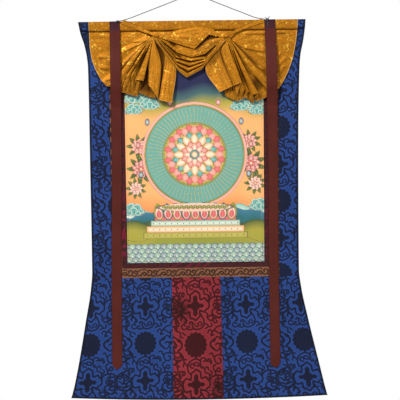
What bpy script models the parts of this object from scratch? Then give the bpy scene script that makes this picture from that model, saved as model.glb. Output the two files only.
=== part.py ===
"""Thangka scroll painting: a painted panel in two brocade borders on a blue brocade mount, with a
swagged gold veil, two veil ties, two ribbons and a hanging cord.

Metres, +Z up, the front faces -Y. The origin is the point of the cord that hangs on the nail. The
tables below are in millimetres: x to the right, drop downwards from a level line near the nail,
and forward towards the viewer from the middle plane of the top hem.
"""

import math

import bmesh
import bpy
import numpy as np

MM = 0.001
SEAM_GAP = 0.3

# The nail that holds the cord, in the drafting frame of the tables.
NAIL_X = -2.4
NAIL_DROP = -5.1

# ---- the flat mount ----
TOP_EDGE = 76.0
BACK = -4.0
CLOTH = 2.0
TOP_HEM = 8.0
TOP_HEM_END = 104.0
TOP_HEM_EDGE = 2.4
TOP_HEM_ROUNDING = 0.12
FOOT_HEM = 7.0
FOOT_HEM_HEIGHT = 24.0
FOOT_HEM_EDGE = 4.0
FOOT_HEM_SHOULDER = 5.0
FOOT_HEM_ROUNDING = 0.45
FOOT_MIDDLE = 1213.0
FOOT_RISE = 9.0
FOOT_HALF_WIDTH = 384.0
SEAM_DROP = 846.0
BINDING_WIDTH = 4.0
BINDING_EXTRA = 0.8
BODY_WAVE = 2.2
FOOT_WAVE = 4.0

OUTLINE = (  # drop, left x, right x
    (76.0, -349.6, 333.2),
    (110.0, -343.0, 330.0),
    (145.0, -332.0, 324.5),
    (180.0, -324.8, 317.0),
    (215.0, -321.5, 313.5),
    (490.0, -319.0, 306.0),
    (826.0, -317.0, 303.5),
    (878.0, -321.5, 309.5),
    (974.0, -337.8, 329.3),
    (1118.0, -363.8, 363.0),
    (1190.0, -380.0, 380.0),
    (1213.0, -387.0, 386.0),
)

PAINTING_TOP = 206.0
PAINTING_FOOT = 801.0
PAINTING_LEFT = (-214.0, -210.0)
PAINTING_RIGHT = (204.5, 200.0)
RED_BORDER = 16.5
GOLD_BORDER = 28.0
DOOR_LEFT = (-78.0, -77.0)
DOOR_RIGHT = (67.0, 73.0)

SIDE_DROPS = (76.0, 78.5, 101.5, 104.0, 109.0, 127.0, 145.0, 162.0, 180.0, 197.0, 215.0, 250.0,
              310.0, 380.0, 450.0, 520.0, 590.0, 660.0, 730.0, 800.0, 826.0)
FOOT_STEPS = (0.0, 0.105, 0.233, 0.395, 0.558, 0.721, 0.872, 1.0)
BORDER_STEPS = 10

# ---- the gold veil ----
VEIL = 1.0
VEIL_TOP = 76.4
GATHERS = {"left": (-118.0, 136.0), "right": (91.0, 141.0)}
PINCH_RADIUS = 1.6
PLEAT_PITCH = 3.0
PINCH_BACK = 3.0
PINCH_FRONT = 13.0
SWAG_SHIFT = 4.0
NECK_ANGLES = (152.0, 122.0, 90.0, 68.0, 48.0)
NECK_STEP = 0.05
FOLD_HALF = 1.5
PLAIN_NECK_STEP = 3.0
SLACK_PITCH = 1.1
SLACK_NECK_FORWARD = (2.0, 0.4)
SLACK_SWAG = (-60.0, -8.0, 44.0)
SLACK_TURN = 4.0
BEND_SHARE = 0.62

PLAIN_ROWS = (  # drop, forward, left end x, right end x
    (VEIL_TOP, 5.0, -318.0, 309.5),
    (104.0, 5.0, -317.5, 308.0),
    (108.5, 1.0, -317.0, 307.6),
)
# Slack rows: left end x, drop, forward; forward at the bend; swag drop, forward; right end x, drop, forward.
SLACK_ROWS = (
    (-315.5, 150.0, 0.8, 2.6, 112.0, 1.8, 303.0, 146.0, 0.8),
    (-310.0, 190.0, 0.8, 0.9, 115.5, 2.2, 293.5, 192.0, 0.9),
    (-298.5, 221.0, 1.4, 4.2, 119.0, 2.6, 280.0, 230.0, 1.6),
    (-283.0, 250.0, 1.8, 1.5, 122.5, 3.0, 266.0, 258.0, 1.8),
    (-267.0, 270.0, 2.0, 2.4, 126.0, 4.0, 250.0, 284.0, 2.0),
)
# A fold: upper x, drop; lower x, drop; floor start x, drop; floor end x, drop; ridge and floor forward.
LEFT_FAN = (
    (-253.0, 272.0, -240.0, 275.0, -232.0, 285.0, -220.0, 290.0, 11.0, 4.0),
    (-207.0, 241.0, -200.5, 246.0, -212.0, 291.0, -199.0, 295.0, 17.0, 4.0),
    (-192.5, 239.5, -186.5, 243.0, -192.0, 297.0, -178.0, 300.5, 18.0, 4.0),
    (-179.5, 252.0, -155.0, 256.5, -163.0, 287.0, -151.0, 281.0, 19.0, 4.0),
    (-140.5, 267.5, -111.2, 311.5, -108.5, 299.0, -104.0, 300.0, 20.0, 6.0),
    (-102.0, 314.6, -70.8, 323.4, None, None, None, None, 19.0, None),
)
RIGHT_FAN = (
    (236.0, 288.0, 222.0, 295.0, 216.0, 306.0, 194.0, 316.0, 12.0, 4.0),
    (188.0, 298.0, 172.0, 302.0, 175.5, 327.5, 165.0, 320.0, 19.0, 5.0),
    (160.5, 291.0, 155.0, 295.0, 156.0, 309.0, 146.0, 307.0, 18.0, 6.0),
    (148.5, 284.0, 143.0, 287.0, 141.0, 311.0, 131.0, 313.5, 19.0, 5.0),
    (134.5, 267.0, 120.5, 274.0, 117.5, 316.5, 111.0, 307.0, 20.0, 5.0),
    (113.0, 275.0, 72.1, 293.0, None, None, None, None, 21.0, None),
)
LEFT_BENDS = {  # fold: the same columns, halfway along the fan
    0: (-192.0, 190.0, -183.0, 195.0, -178.0, 203.0, -171.0, 206.0, 12.0, 4.4),
    4: (-139.0, 214.0, -101.5, 211.0, -101.5, 204.0, -99.0, 203.0, 15.0, 5.0),
    5: (-91.0, 188.0, -57.0, 222.0, None, None, None, None, 8.0, None),
}
RIGHT_BENDS = {
    0: (165.0, 202.0, 155.0, 210.0, 151.0, 218.0, 144.0, 221.0, 12.5, 4.4),
    5: (76.0, 170.0, 31.0, 220.0, None, None, None, None, 8.0, None),
}
SWAG = (  # fold: line, then left knee x, drop; lowest x, drop; right knee x, drop; forward at the three
    (("upper", -62.0, 108.0, 6.0, 96.0, 54.0, 103.5, 14.0, 13.5, 13.0),
     ("lower", -60.0, 146.0, -2.0, 162.5, 43.0, 120.0, 18.0, 19.0, 17.0),
     ("valley", -58.0, 139.0, 0.0, 152.0, 45.0, 124.0, 10.5, 8.5, 7.0)),
    (("upper", -55.0, 153.0, 0.0, 158.0, 46.0, 133.0, 12.5, 11.0, 11.5),
     ("lower", -50.0, 174.0, -10.0, 188.0, 32.0, 181.5, 16.0, 16.5, 15.5),
     ("valley", -53.0, 177.0, -10.0, 186.0, 30.0, 185.5, 10.0, 8.5, 8.5)),
    (("upper", -58.0, 181.7, -12.0, 191.5, 29.0, 188.0, 16.0, 15.5, 15.0),
     ("lower", -57.0, 186.7, -12.0, 197.0, 29.0, 191.4, 16.5, 15.5, 15.0),
     ("valley", -56.0, 190.3, -14.0, 201.0, 28.5, 193.4, 10.0, 8.0, 8.0)),
    (("upper", -55.5, 193.3, -16.0, 206.0, 28.5, 195.2, 16.0, 15.5, 15.0),
     ("lower", -54.5, 198.3, -16.0, 212.0, 28.0, 198.8, 16.0, 15.5, 15.0),
     ("valley", -53.5, 201.9, -18.0, 216.0, 27.0, 201.2, 10.0, 8.0, 8.0)),
    (("upper", -53.0, 204.8, -20.0, 220.5, 26.0, 203.8, 15.5, 15.0, 14.5),
     ("lower", -52.0, 210.0, -20.0, 227.0, 25.0, 208.0, 15.5, 15.0, 14.5),
     ("valley", -51.0, 213.6, -22.0, 231.5, 24.0, 210.6, 10.0, 8.0, 8.0)),
    (("upper", -50.5, 217.4, -24.0, 237.0, 22.5, 214.0, 15.0, 14.5, 14.0),
     ("lower", -49.5, 227.6, -26.0, 247.0, 18.5, 224.4, 12.5, 11.5, 11.5)),
)
SWAG_KNEES = (0.28, 0.5, 0.72)
FACE_RISE = 0.09
MOST_FACE_RISE = 2.6
LEAST_TURN = 1.6
SHARPEST_LEAN = 0.62
LEFT_STATIONS = (0.0, 0.06, 0.16, 0.28, 0.4, 0.5, 0.6, 0.7, 0.79, 0.87, 0.94)
SWAG_STATIONS = (0.07, 0.17, 0.29, 0.39, 0.5, 0.61, 0.71, 0.83, 0.93)

# ---- ties, ribbons and cord ----
TIE = 1.2
TIE_ROUTES = {  # x, drop, forward, width
    "left": ((-215.5, 78.4, 6.42, 15.0), (-196.0, 86.0, 6.42, 14.5), (-170.0, 97.0, 6.5, 13.0),
             (-147.0, 107.0, 9.2, 10.5), (-132.0, 113.8, 16.4, 8.8), (-121.0, 119.0, 20.4, 7.6),
             (-110.0, 124.2, 21.4, 7.0)),
    "right": ((203.5, 80.0, 6.42, 13.0), (184.0, 86.0, 6.42, 12.5), (158.0, 96.0, 6.5, 11.5),
              (125.0, 109.5, 9.2, 10.0), (107.0, 118.0, 16.4, 8.6), (95.0, 123.4, 20.4, 7.6),
              (84.0, 128.4, 21.4, 7.0)),
}
RIBBON = 1.2
RIBBON_TOP = 76.0
RIBBON_SIZES = {  # top centre x, top width, foot centre x, foot width, tip x, tip drop
    "left": (-239.0, 30.0, -245.5, 29.0, -247.0, 1121.0),
    "right": (225.5, 33.0, 229.0, 28.0, 234.0, 1121.6),
}
RIBBON_POINT = 17.0
RIBBON_RELIEF = (  # drop, forward
    (76.0, 6.6), (84.0, 6.7), (108.0, 8.6), (150.0, 11.0), (196.0, 17.5), (236.0, 20.5),
    (268.0, 20.5), (300.0, 13.5), (335.0, 5.2),
)
RIBBON_CLEAR = 2.6
RIBBON_SETTLE = 90.0
RIBBON_DROPS = (76.0, 84.0, 95.0, 108.0, 128.0, 150.0, 172.0, 196.0, 216.0, 236.0, 252.0, 268.0,
                284.0, 300.0, 318.0, 335.0)
RIBBON_LOWER_STEPS = 14
RIBBON_TIP_END = 0.3
TIE_STATIONS = 19
CORD_RADIUS = 1.25
CORD_ROUTE = (  # x, drop, forward
    (-222.6, 75.2, 9.0), (-216.5, 73.8, 5.0), (-206.0, 70.8, 2.4), (-150.0, 50.4, 1.2),
    (-80.0, 24.0, 0.5), (-10.0, -2.6, 0.0), (NAIL_X, NAIL_DROP, 0.0), (5.0, -2.4, 0.0),
    (70.0, 24.4, 0.5), (140.0, 52.6, 1.2), (193.0, 72.4, 2.4), (203.5, 74.0, 5.0), (211.4, 75.4, 9.0),
)
CORD_POINTS = 64
KNOT_SIZE = (12.0, 6.4, 7.6)
KNOT_LUMPS = 0.12
KNOTS = {"left": (-229.0, 76.6, 10.9), "right": (217.8, 77.0, 10.9)}
TAILS = ((-6.2, -7.0), (7.0, -9.6))

COLOURS = {  # linear red, green, blue, roughness
    "blue": (0.022, 0.045, 0.14, 0.55),
    "red": (0.15, 0.022, 0.030, 0.55),
    "gold_border": (0.14, 0.062, 0.032, 0.6),
    "red_border": (0.095, 0.026, 0.022, 0.6),
    "painting": (0.62, 0.34, 0.17, 0.75),
    "binding": (0.010, 0.012, 0.026, 0.7),
    "veil": (0.50, 0.235, 0.035, 0.42),
    "ribbon": (0.095, 0.022, 0.022, 0.6),
    "cord": (0.045, 0.045, 0.048, 0.7),
}


def at(x, drop, forward):
    """World metres of a place in the drafting frame."""
    return ((x - NAIL_X) * MM, -forward * MM, (NAIL_DROP - drop) * MM)


def material(name):
    made = bpy.data.materials.get(name)
    if made is None:
        made = bpy.data.materials.new(name)
        made.use_nodes = True
        red, green, blue, roughness = COLOURS[name]
        shader = made.node_tree.nodes["Principled BSDF"]
        shader.inputs["Base Color"].default_value = (red, green, blue, 1.0)
        shader.inputs["Roughness"].default_value = roughness
        shader.inputs["Metallic"].default_value = 0.0
    return made


def add_object(name, data, colour):
    obj = bpy.data.objects.new(name, data)
    bpy.context.scene.collection.objects.link(obj)
    data.materials.append(material(colour))
    return obj


def smooth_through(knots, values, where):
    """Values at `where` on smooth curves that never overshoot their knots (last axis but one)."""
    knots = np.asarray(knots, float)
    values = np.asarray(values, float)
    step = np.diff(knots)[:, None]
    slope = np.diff(values, axis=-2) / step
    before, after = slope[..., :-1, :], slope[..., 1:, :]
    turning = before * after <= 0
    weight = 2 * step[1:] + step[:-1], step[1:] + 2 * step[:-1]
    safe_before = np.where(turning, 1.0, before)
    safe_after = np.where(turning, 1.0, after)
    inner = (weight[0] + weight[1]) / (weight[0] / safe_before + weight[1] / safe_after)
    inner = np.where(turning, 0.0, inner)
    tangent = np.concatenate([slope[..., :1, :], inner, slope[..., -1:, :]], axis=-2)
    index = np.clip(np.searchsorted(knots, where, side="right") - 1, 0, len(knots) - 2)
    width = step[index]
    t = ((np.asarray(where) - knots[index]) / width[:, 0])[:, None]
    start, end = values[..., index, :], values[..., index + 1, :]
    return ((1 + 2 * t) * (1 - t) ** 2 * start + t * (1 - t) ** 2 * width * tangent[..., index, :]
            + t * t * (3 - 2 * t) * end - t * t * (1 - t) * width * tangent[..., index + 1, :])


def ramp(value, start, end):
    t = min(1.0, max(0.0, (value - start) / (end - start)))
    return t * t * (3 - 2 * t)


def wave(x, drop):
    """How far the hanging cloth stands forward of its flat plane."""
    body = ramp(drop, 135, 420) * (0.5 + 0.5 * math.sin(x / 61 + drop / 240))
    foot = ramp(drop, 850, 1200) * (0.5 + 0.5 * math.cos(x / 78 + 1.1))
    return BODY_WAVE * body + FOOT_WAVE * foot


def edge_x(side, drop):
    column = 1 if side == "left" else 2
    table = np.array([(row[0], row[column]) for row in OUTLINE])
    return float(smooth_through(table[:, 0], table[:, 1:], [drop])[0, 0])


def foot_edge(x):
    return FOOT_MIDDLE - FOOT_RISE * (x / FOOT_HALF_WIDTH) ** 2


def thickness(x, drop):
    """The mount is thick at its top and foot hems, whose edges are rounded."""
    if drop <= TOP_HEM_END:
        edges = ramp(drop, TOP_EDGE + TOP_HEM_EDGE, TOP_EDGE)
        edges += ramp(drop, TOP_HEM_END - TOP_HEM_EDGE, TOP_HEM_END)
        return TOP_HEM * (1.0 - TOP_HEM_ROUNDING * edges)
    above_foot = foot_edge(x) - BINDING_WIDTH - drop
    swell = ramp(above_foot, FOOT_HEM_HEIGHT, FOOT_HEM_HEIGHT - FOOT_HEM_SHOULDER)
    swell *= 1.0 - FOOT_HEM_ROUNDING * ramp(above_foot, FOOT_HEM_EDGE, 0)
    return CLOTH + (FOOT_HEM - CLOTH) * swell


def between(pair, start, end):
    """A straight edge that runs from pair[0] at `start` to pair[1] at `end`."""
    return lambda drop: pair[0] + (pair[1] - pair[0]) * (drop - start) / (end - start)


def closed_sheet(name, front, back, colour):
    """One closed body between two grids of points, with a wall round their rim."""
    rows, columns = len(front), len(front[0])
    made = bmesh.new()
    grids = []
    for grid in (front, back):
        grids.append([[made.verts.new(point) for point in row] for row in grid])
    near, far = grids
    for i in range(rows - 1):
        for j in range(columns - 1):
            made.faces.new((near[i][j], near[i + 1][j], near[i + 1][j + 1], near[i][j + 1]))
            made.faces.new((far[i][j], far[i][j + 1], far[i + 1][j + 1], far[i + 1][j]))
    rim = [(i, 0) for i in range(rows)]
    rim += [(rows - 1, j) for j in range(1, columns)]
    rim += [(i, columns - 1) for i in range(rows - 2, -1, -1)]
    rim += [(0, j) for j in range(columns - 2, 0, -1)]
    for (a, b), (c, d) in zip(rim, rim[1:] + rim[:1]):
        made.faces.new((near[a][b], far[a][b], far[c][d], near[c][d]))
    if made.calc_volume(signed=True) < 0:
        bmesh.ops.reverse_faces(made, faces=made.faces)
    mesh = bpy.data.meshes.new(name)
    made.to_mesh(mesh)
    made.free()
    mesh.shade_smooth()
    mesh.set_sharp_from_angle(angle=math.radians(40))
    return add_object(name, mesh, colour)


def add_panel(name, left, right, drops, columns, colour, foot=None, extra=0.0):
    """A flat piece of the mount. `foot` bends its lower rows to the curve of the foot edge."""
    front, back = [], []
    for drop in drops:
        near_row, far_row = [], []
        for step in range(columns + 1):
            place = drop
            for _ in range(3):
                x = left(place) + (right(place) - left(place)) * step / columns
                place = drop if foot is None else foot(x, drop)
            behind = BACK + wave(x, place)
            near_row.append(at(x, place, behind + thickness(x, place) + extra))
            far_row.append(at(x, place, behind))
        front.append(near_row)
        back.append(far_row)
    return closed_sheet(name, front, back, colour)


def foot_drops(below):
    """Drops of the foot pieces' rows at the middle of the foot, and their bend along the foot edge."""
    start = SEAM_DROP + SEAM_GAP
    end = FOOT_MIDDLE - below
    hem = end - FOOT_HEM_HEIGHT
    drops = [start + (hem - start) * step for step in FOOT_STEPS]
    drops += [hem + FOOT_HEM_SHOULDER, end - FOOT_HEM_EDGE, end]

    def bend(x, drop):
        share = (drop - start) / (end - start)
        return drop - (FOOT_MIDDLE - foot_edge(x)) * share

    return drops, bend


def add_mount():
    """The blue and red brocade that the painting and its borders are sewn into."""
    red_left = between(PAINTING_LEFT, PAINTING_TOP, PAINTING_FOOT)
    red_right = between(PAINTING_RIGHT, PAINTING_TOP, PAINTING_FOOT)
    borders = RED_BORDER + GOLD_BORDER
    opening_top = PAINTING_TOP - borders

    def shifted(edge, by):
        return lambda drop: edge(drop) + by

    def outer(side, by):
        return lambda drop: edge_x(side, drop) + by

    inset = BINDING_WIDTH + SEAM_GAP
    side_drops = [*SIDE_DROPS, SEAM_DROP]
    add_panel("side_strip_left", outer("left", inset), shifted(red_left, -borders - SEAM_GAP),
              side_drops, 2, "blue")
    add_panel("side_strip_right", shifted(red_right, borders + SEAM_GAP), outer("right", -inset),
              side_drops, 2, "blue")
    heading_drops = [drop for drop in SIDE_DROPS if drop < opening_top - 5] + [opening_top - SEAM_GAP]
    add_panel("heading", shifted(red_left, -borders), shifted(red_right, borders), heading_drops,
              10, "blue")

    foot_rows, bend = foot_drops(inset)
    door_left = between(DOOR_LEFT, SEAM_DROP, FOOT_MIDDLE)
    door_right = between(DOOR_RIGHT, SEAM_DROP, FOOT_MIDDLE)
    add_panel("foot_panel_left", outer("left", inset), shifted(door_left, -SEAM_GAP), foot_rows, 8,
              "blue", foot=bend)
    add_panel("foot_panel_right", shifted(door_right, SEAM_GAP), outer("right", -inset), foot_rows,
              8, "blue", foot=bend)
    add_panel("red_door", door_left, door_right, foot_rows, 5, "red", foot=bend)

    binding_rows, binding_bend = foot_drops(BINDING_WIDTH)
    side_rows = side_drops[:-1] + binding_rows
    for side, near, far in (("left", 0.0, BINDING_WIDTH), ("right", -BINDING_WIDTH, 0.0)):
        add_panel("binding_" + side, outer(side, near), outer(side, far), side_rows, 1, "binding",
                  foot=lambda x, drop: drop if drop < SEAM_DROP else binding_bend(x, drop),
                  extra=BINDING_EXTRA)
    ends = FOOT_MIDDLE - BINDING_WIDTH + SEAM_GAP, FOOT_MIDDLE
    add_panel("binding_foot", outer("left", -0.6), outer("right", 0.6), ends, 24, "binding",
              foot=lambda x, drop: drop - (FOOT_MIDDLE - foot_edge(x)), extra=BINDING_EXTRA)


def steps_between(start, end):
    return [start + (end - start) * step / BORDER_STEPS for step in range(BORDER_STEPS + 1)]


def add_borders():
    """The painting with its narrow red border and its wider gold-brown border."""
    left = between(PAINTING_LEFT, PAINTING_TOP, PAINTING_FOOT)
    right = between(PAINTING_RIGHT, PAINTING_TOP, PAINTING_FOOT)
    add_panel("painting", left, right, steps_between(PAINTING_TOP, PAINTING_FOOT), BORDER_STEPS,
              "painting")
    inner = SEAM_GAP
    for name, width in (("red_border", RED_BORDER), ("gold_border", GOLD_BORDER)):
        outer = inner + width - SEAM_GAP

        def beside(edge, by):
            return lambda drop: edge(drop) + by

        top, foot = PAINTING_TOP - inner, PAINTING_FOOT + inner
        sides = steps_between(top, foot)
        add_panel(name + "_left", beside(left, -outer), beside(left, -inner), sides, 1, name)
        add_panel(name + "_right", beside(right, inner), beside(right, outer), sides, 1, name)
        add_panel(name + "_top", beside(left, -outer), beside(right, outer),
                  (PAINTING_TOP - outer, top - SEAM_GAP), BORDER_STEPS, name)
        add_panel(name + "_foot", beside(left, -outer), beside(right, outer),
                  (foot + SEAM_GAP, PAINTING_FOOT + outer), BORDER_STEPS, name)
        inner += width


def neck(side, radius, forward_in, forward_out):
    """Where a line of the veil runs over its gather, from the fan side to the swag side."""
    centre_x, centre_drop = GATHERS[side]
    turn = 1 if side == "left" else -1
    places = []
    for step, degrees in enumerate(NECK_ANGLES):
        angle = math.radians(degrees)
        share = step / (len(NECK_ANGLES) - 1)
        forward = forward_in + (forward_out - forward_in) * share
        places.append((centre_x + turn * radius * math.cos(angle),
                       centre_drop - radius * math.sin(angle), forward))
    return places if side == "left" else places[::-1]


def neck_steps():
    return [NECK_STEP * step for step in range(len(NECK_ANGLES))]


def between_necks(share):
    """The parameter at a share of the way over the swag, from the left neck to the right one."""
    return 1.2 + 0.8 * share


def knot_positions():
    """The parameter of each control place along a line: left end, bend, neck, swag, and so on."""
    left = [0.0, 0.5] + [1.0 + step for step in neck_steps()]
    swag = [between_necks(share) for share in SWAG_KNEES]
    return left + swag + [2.0 + step for step in neck_steps()] + [2.7, 3.2]


def stations():
    """Where the veil's lines are sampled, from its left hem to its right hem."""
    left = [*LEFT_STATIONS] + [1.0 + step for step in neck_steps()]
    swag = [between_necks(share) for share in SWAG_STATIONS]
    right = [2.0 + step for step in neck_steps()] + [3.2 - share for share in reversed(LEFT_STATIONS)]
    return left + swag + right


def straight_bend(end, inner, forward):
    """A control place halfway along a straight stretch of a line."""
    return ((end[0] + inner[0]) / 2, (end[1] + inner[1]) / 2, forward)


def plain_line(drop, forward, left_x, right_x):
    """A level line of the veil over the top hem."""
    (left_gather, _), (right_gather, _) = GATHERS["left"], GATHERS["right"]
    steps = [(step - 2) * PLAIN_NECK_STEP for step in range(len(NECK_ANGLES))]
    inner_left, inner_right = left_gather + steps[-1], right_gather + steps[0]
    xs = [left_x, (left_x + left_gather) / 2] + [left_gather + step for step in steps]
    xs += [inner_left + (inner_right - inner_left) * share for share in SWAG_KNEES]
    xs += [right_gather + step for step in steps] + [(right_x + right_gather) / 2, right_x]
    return [(x, drop, forward) for x in xs]


def slack_line(row, order):
    """A line of the cloth that hangs between the seam and the first pleat."""
    left_x, left_drop, left_forward, bend, swag_drop, swag_forward, right_x, right_drop, right_forward = row
    radius = PINCH_RADIUS + len(SWAG) * PLEAT_PITCH + FOLD_HALF
    radius += SLACK_PITCH * (len(SLACK_ROWS) - 1 - order)
    rise = SLACK_NECK_FORWARD[0] + SLACK_NECK_FORWARD[1] * order
    left_neck = neck("left", radius, rise, rise)
    right_neck = neck("right", radius, rise, rise)
    left_end = (left_x, left_drop, left_forward)
    right_end = (right_x, right_drop, right_forward)
    swag = [(x, swag_drop, swag_forward) for x in SLACK_SWAG]
    return ([left_end, straight_bend(left_end, left_neck[0], bend)] + left_neck + swag
            + right_neck + [straight_bend(right_end, right_neck[-1], bend), right_end])


def fold_line(fold, line):
    """Control places of one line of a pleat, right across the veil."""
    column = {"upper": 0, "lower": 2, "floor start": 4, "floor end": 6}[line]
    deep = line.startswith("floor")
    depth = 9 if deep else 8
    outward = {"upper": FOLD_HALF, "floor end": -FOLD_HALF}.get(line, 0.0)
    radius = PINCH_RADIUS + PLEAT_PITCH * (len(SWAG) - 1 - fold) + outward
    pinch = PINCH_BACK if deep else PINCH_FRONT
    necks = {side: neck(side, radius, pinch, pinch + SWAG_SHIFT) for side in GATHERS}
    halves = []
    for fan, bends, inner in ((LEFT_FAN, LEFT_BENDS, necks["left"][0]),
                              (RIGHT_FAN, RIGHT_BENDS, necks["right"][-1])):
        row = fan[fold]
        end = (row[column], row[column + 1], row[depth])
        bend = straight_bend(end, inner, BEND_SHARE * end[2] + (1 - BEND_SHARE) * pinch)
        if fold in bends:
            bent = bends[fold]
            bend = (bent[column], bent[column + 1], bent[depth])
        halves.append([end, bend])
    swag_row = next(row for row in SWAG[fold] if row[0] == ("valley" if deep else line))
    swag = [(swag_row[1 + 2 * k], swag_row[2 + 2 * k], swag_row[7 + k]) for k in range(3)]
    return halves[0] + necks["left"] + swag + necks["right"] + halves[1][::-1]


def units(vectors):
    return vectors / np.maximum(np.linalg.norm(vectors, axis=-1, keepdims=True), 1e-9)


def part_lines(first, second, before, after):
    """Two neighbouring lines moved apart until the cloth has room to turn between them."""
    middle = (first + second) / 2
    along = units(np.gradient(middle, axis=0))
    ways = []
    for other in (before, after):
        way = other - middle
        ways.append(units(way - (way * along).sum(axis=1, keepdims=True) * along))
    aside = units(ways[0] - ways[1])
    short = LEAST_TURN - ((first - second) * aside).sum(axis=1, keepdims=True)
    push = aside * np.maximum(short, 0.0) / 2
    return first + push, second - push


def veil_middle():
    """The middle surface of the veil: lines from its top edge to its lower hem, sampled at the stations."""
    knots, where = knot_positions(), np.array(stations())

    def sampled(line):
        return smooth_through(knots, np.array(line), where)

    lines = [sampled(plain_line(*row)) for row in PLAIN_ROWS]
    lines += [sampled(slack_line(row, order)) for order, row in enumerate(SLACK_ROWS)]
    folds = range(len(SWAG))
    uppers = [sampled(fold_line(fold, "upper")) for fold in folds]
    lowers = [sampled(fold_line(fold, "lower")) for fold in folds]
    starts = [lines[-1]] + [sampled(fold_line(fold, "floor start")) for fold in folds[:-1]]
    ends = [lines[-1] * 0.5 + slack_floor(lines[-1], uppers[0]) * 0.5]
    ends += [sampled(fold_line(fold, "floor end")) for fold in folds[:-1]]
    lines.pop()
    for fold in folds:
        before = lines[-1] if fold == 0 else lowers[fold - 1]
        lines += part_lines(starts[fold], ends[fold], before, uppers[fold])
        after = starts[fold + 1] if fold < len(SWAG) - 1 else lowers[fold]
        upper, lower = part_lines(uppers[fold], lowers[fold], ends[fold], after)
        width = np.linalg.norm(upper - lower, axis=1)
        face = (upper + lower) / 2
        face[:, 2] += np.minimum(FACE_RISE * width, MOST_FACE_RISE)
        lines += [upper, face, lower]
    return np.array(lines)


def slack_floor(line, upper):
    """The slack cloth's last line, moved a little towards the first pleat."""
    way = upper - line
    return line + way * SLACK_TURN / np.maximum(np.linalg.norm(way, axis=1, keepdims=True), SLACK_TURN)


def offset_surfaces(middle, half):
    """The two faces of a cloth of even thickness round its middle surface."""
    across = np.gradient(middle, axis=1)
    down_before = np.diff(middle, axis=0, prepend=2 * middle[:1] - middle[1:2])
    down_after = np.diff(middle, axis=0, append=2 * middle[-1:] - middle[-2:-1])
    normals = []
    for down in (down_before, down_after):
        normal = np.cross(across, down)
        normals.append(units(normal))
    both = units(normals[0] + normals[1])
    lean = np.maximum((both * normals[0]).sum(axis=2, keepdims=True), SHARPEST_LEAN)
    return middle + both * half / lean, middle - both * half / lean


def add_veil():
    near, far = offset_surfaces(veil_middle(), VEIL / 2)
    grids = [[[at(*point) for point in row] for row in grid] for grid in (near, far)]
    return closed_sheet("veil", grids[0], grids[1], "veil")


def add_band(name, places, widths, thick, colour):
    """A flat strip along a route of places, with its width across the route in the wall's plane."""
    places = np.array(places, float)
    along = np.gradient(places, axis=0)
    flat = np.stack([-along[:, 1], along[:, 0]], axis=1)
    flat /= np.linalg.norm(flat, axis=1, keepdims=True)
    side = np.concatenate([flat, np.zeros((len(flat), 1))], axis=1)
    half = np.array(widths, float)[:, None] / 2
    left, right = places + side * half, places - side * half
    rise = np.cross(along, side)
    rise /= np.linalg.norm(rise, axis=1, keepdims=True)
    rise *= np.sign(rise[:, 2:3])
    front, back = [], []
    for i in range(len(places)):
        front.append([at(*(end[i] + rise[i] * thick / 2)) for end in (left, right)])
        back.append([at(*(end[i] - rise[i] * thick / 2)) for end in (left, right)])
    return closed_sheet(name, front, back, colour)


def add_ties():
    for side, route in TIE_ROUTES.items():
        table = np.array(route)
        knots = np.arange(len(route), dtype=float)
        path = smooth_through(knots, table, np.linspace(0, len(route) - 1, TIE_STATIONS))
        add_band("veil_tie_" + side, path[:, :3], path[:, 3], TIE, "veil")


def ribbon_forward(x, drop):
    """The ribbon lies over the veil, then just clear of the cloth below it."""
    table = np.array(RIBBON_RELIEF)
    last_drop = table[-1, 0]
    if drop < last_drop:
        return float(smooth_through(table[:, 0], table[:, 1:], [drop])[0, 0])
    over_cloth = BACK + CLOTH + wave(x, drop) + RIBBON_CLEAR
    return table[-1, 1] + (over_cloth - table[-1, 1]) * ramp(drop, last_drop, last_drop + RIBBON_SETTLE)


def add_ribbons():
    for side, (top_x, top_width, foot_x, foot_width, tip_x, tip_drop) in RIBBON_SIZES.items():
        foot_drop = tip_drop - RIBBON_POINT
        lower = (foot_drop - RIBBON_DROPS[-1]) / RIBBON_LOWER_STEPS
        drops = [*RIBBON_DROPS]
        drops += [RIBBON_DROPS[-1] + lower * step for step in range(1, RIBBON_LOWER_STEPS + 1)]
        drops += [tip_drop - RIBBON_TIP_END]
        places, widths = [], []
        for drop in drops:
            share = (drop - RIBBON_TOP) / (foot_drop - RIBBON_TOP)
            pointed = max(0.0, (drop - foot_drop) / RIBBON_POINT)
            body = top_x + (foot_x - top_x) * min(share, 1.0)
            x = body + (tip_x - body) * pointed
            places.append((x, drop, ribbon_forward(x, drop)))
            widths.append((top_width + (foot_width - top_width) * min(share, 1.0)) * (1 - pointed))
        add_band("ribbon_" + side, places, widths, RIBBON, "ribbon")


def add_cord():
    """One thin cord from knot to knot over the nail."""
    route = np.array(CORD_ROUTE)
    knots = np.concatenate([[0.0], np.cumsum(np.linalg.norm(np.diff(route, axis=0), axis=1))])
    path = smooth_through(knots, route, np.linspace(0, knots[-1], CORD_POINTS))
    curve = bpy.data.curves.new("cord", "CURVE")
    curve.dimensions = "3D"
    curve.bevel_depth = CORD_RADIUS * MM
    curve.bevel_resolution = 2
    curve.use_fill_caps = True
    spline = curve.splines.new("POLY")
    spline.points.add(len(path) - 1)
    for point, place in zip(spline.points, path):
        point.co = (*at(*place), 1.0)
    add_object("cord", curve, "cord")


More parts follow.
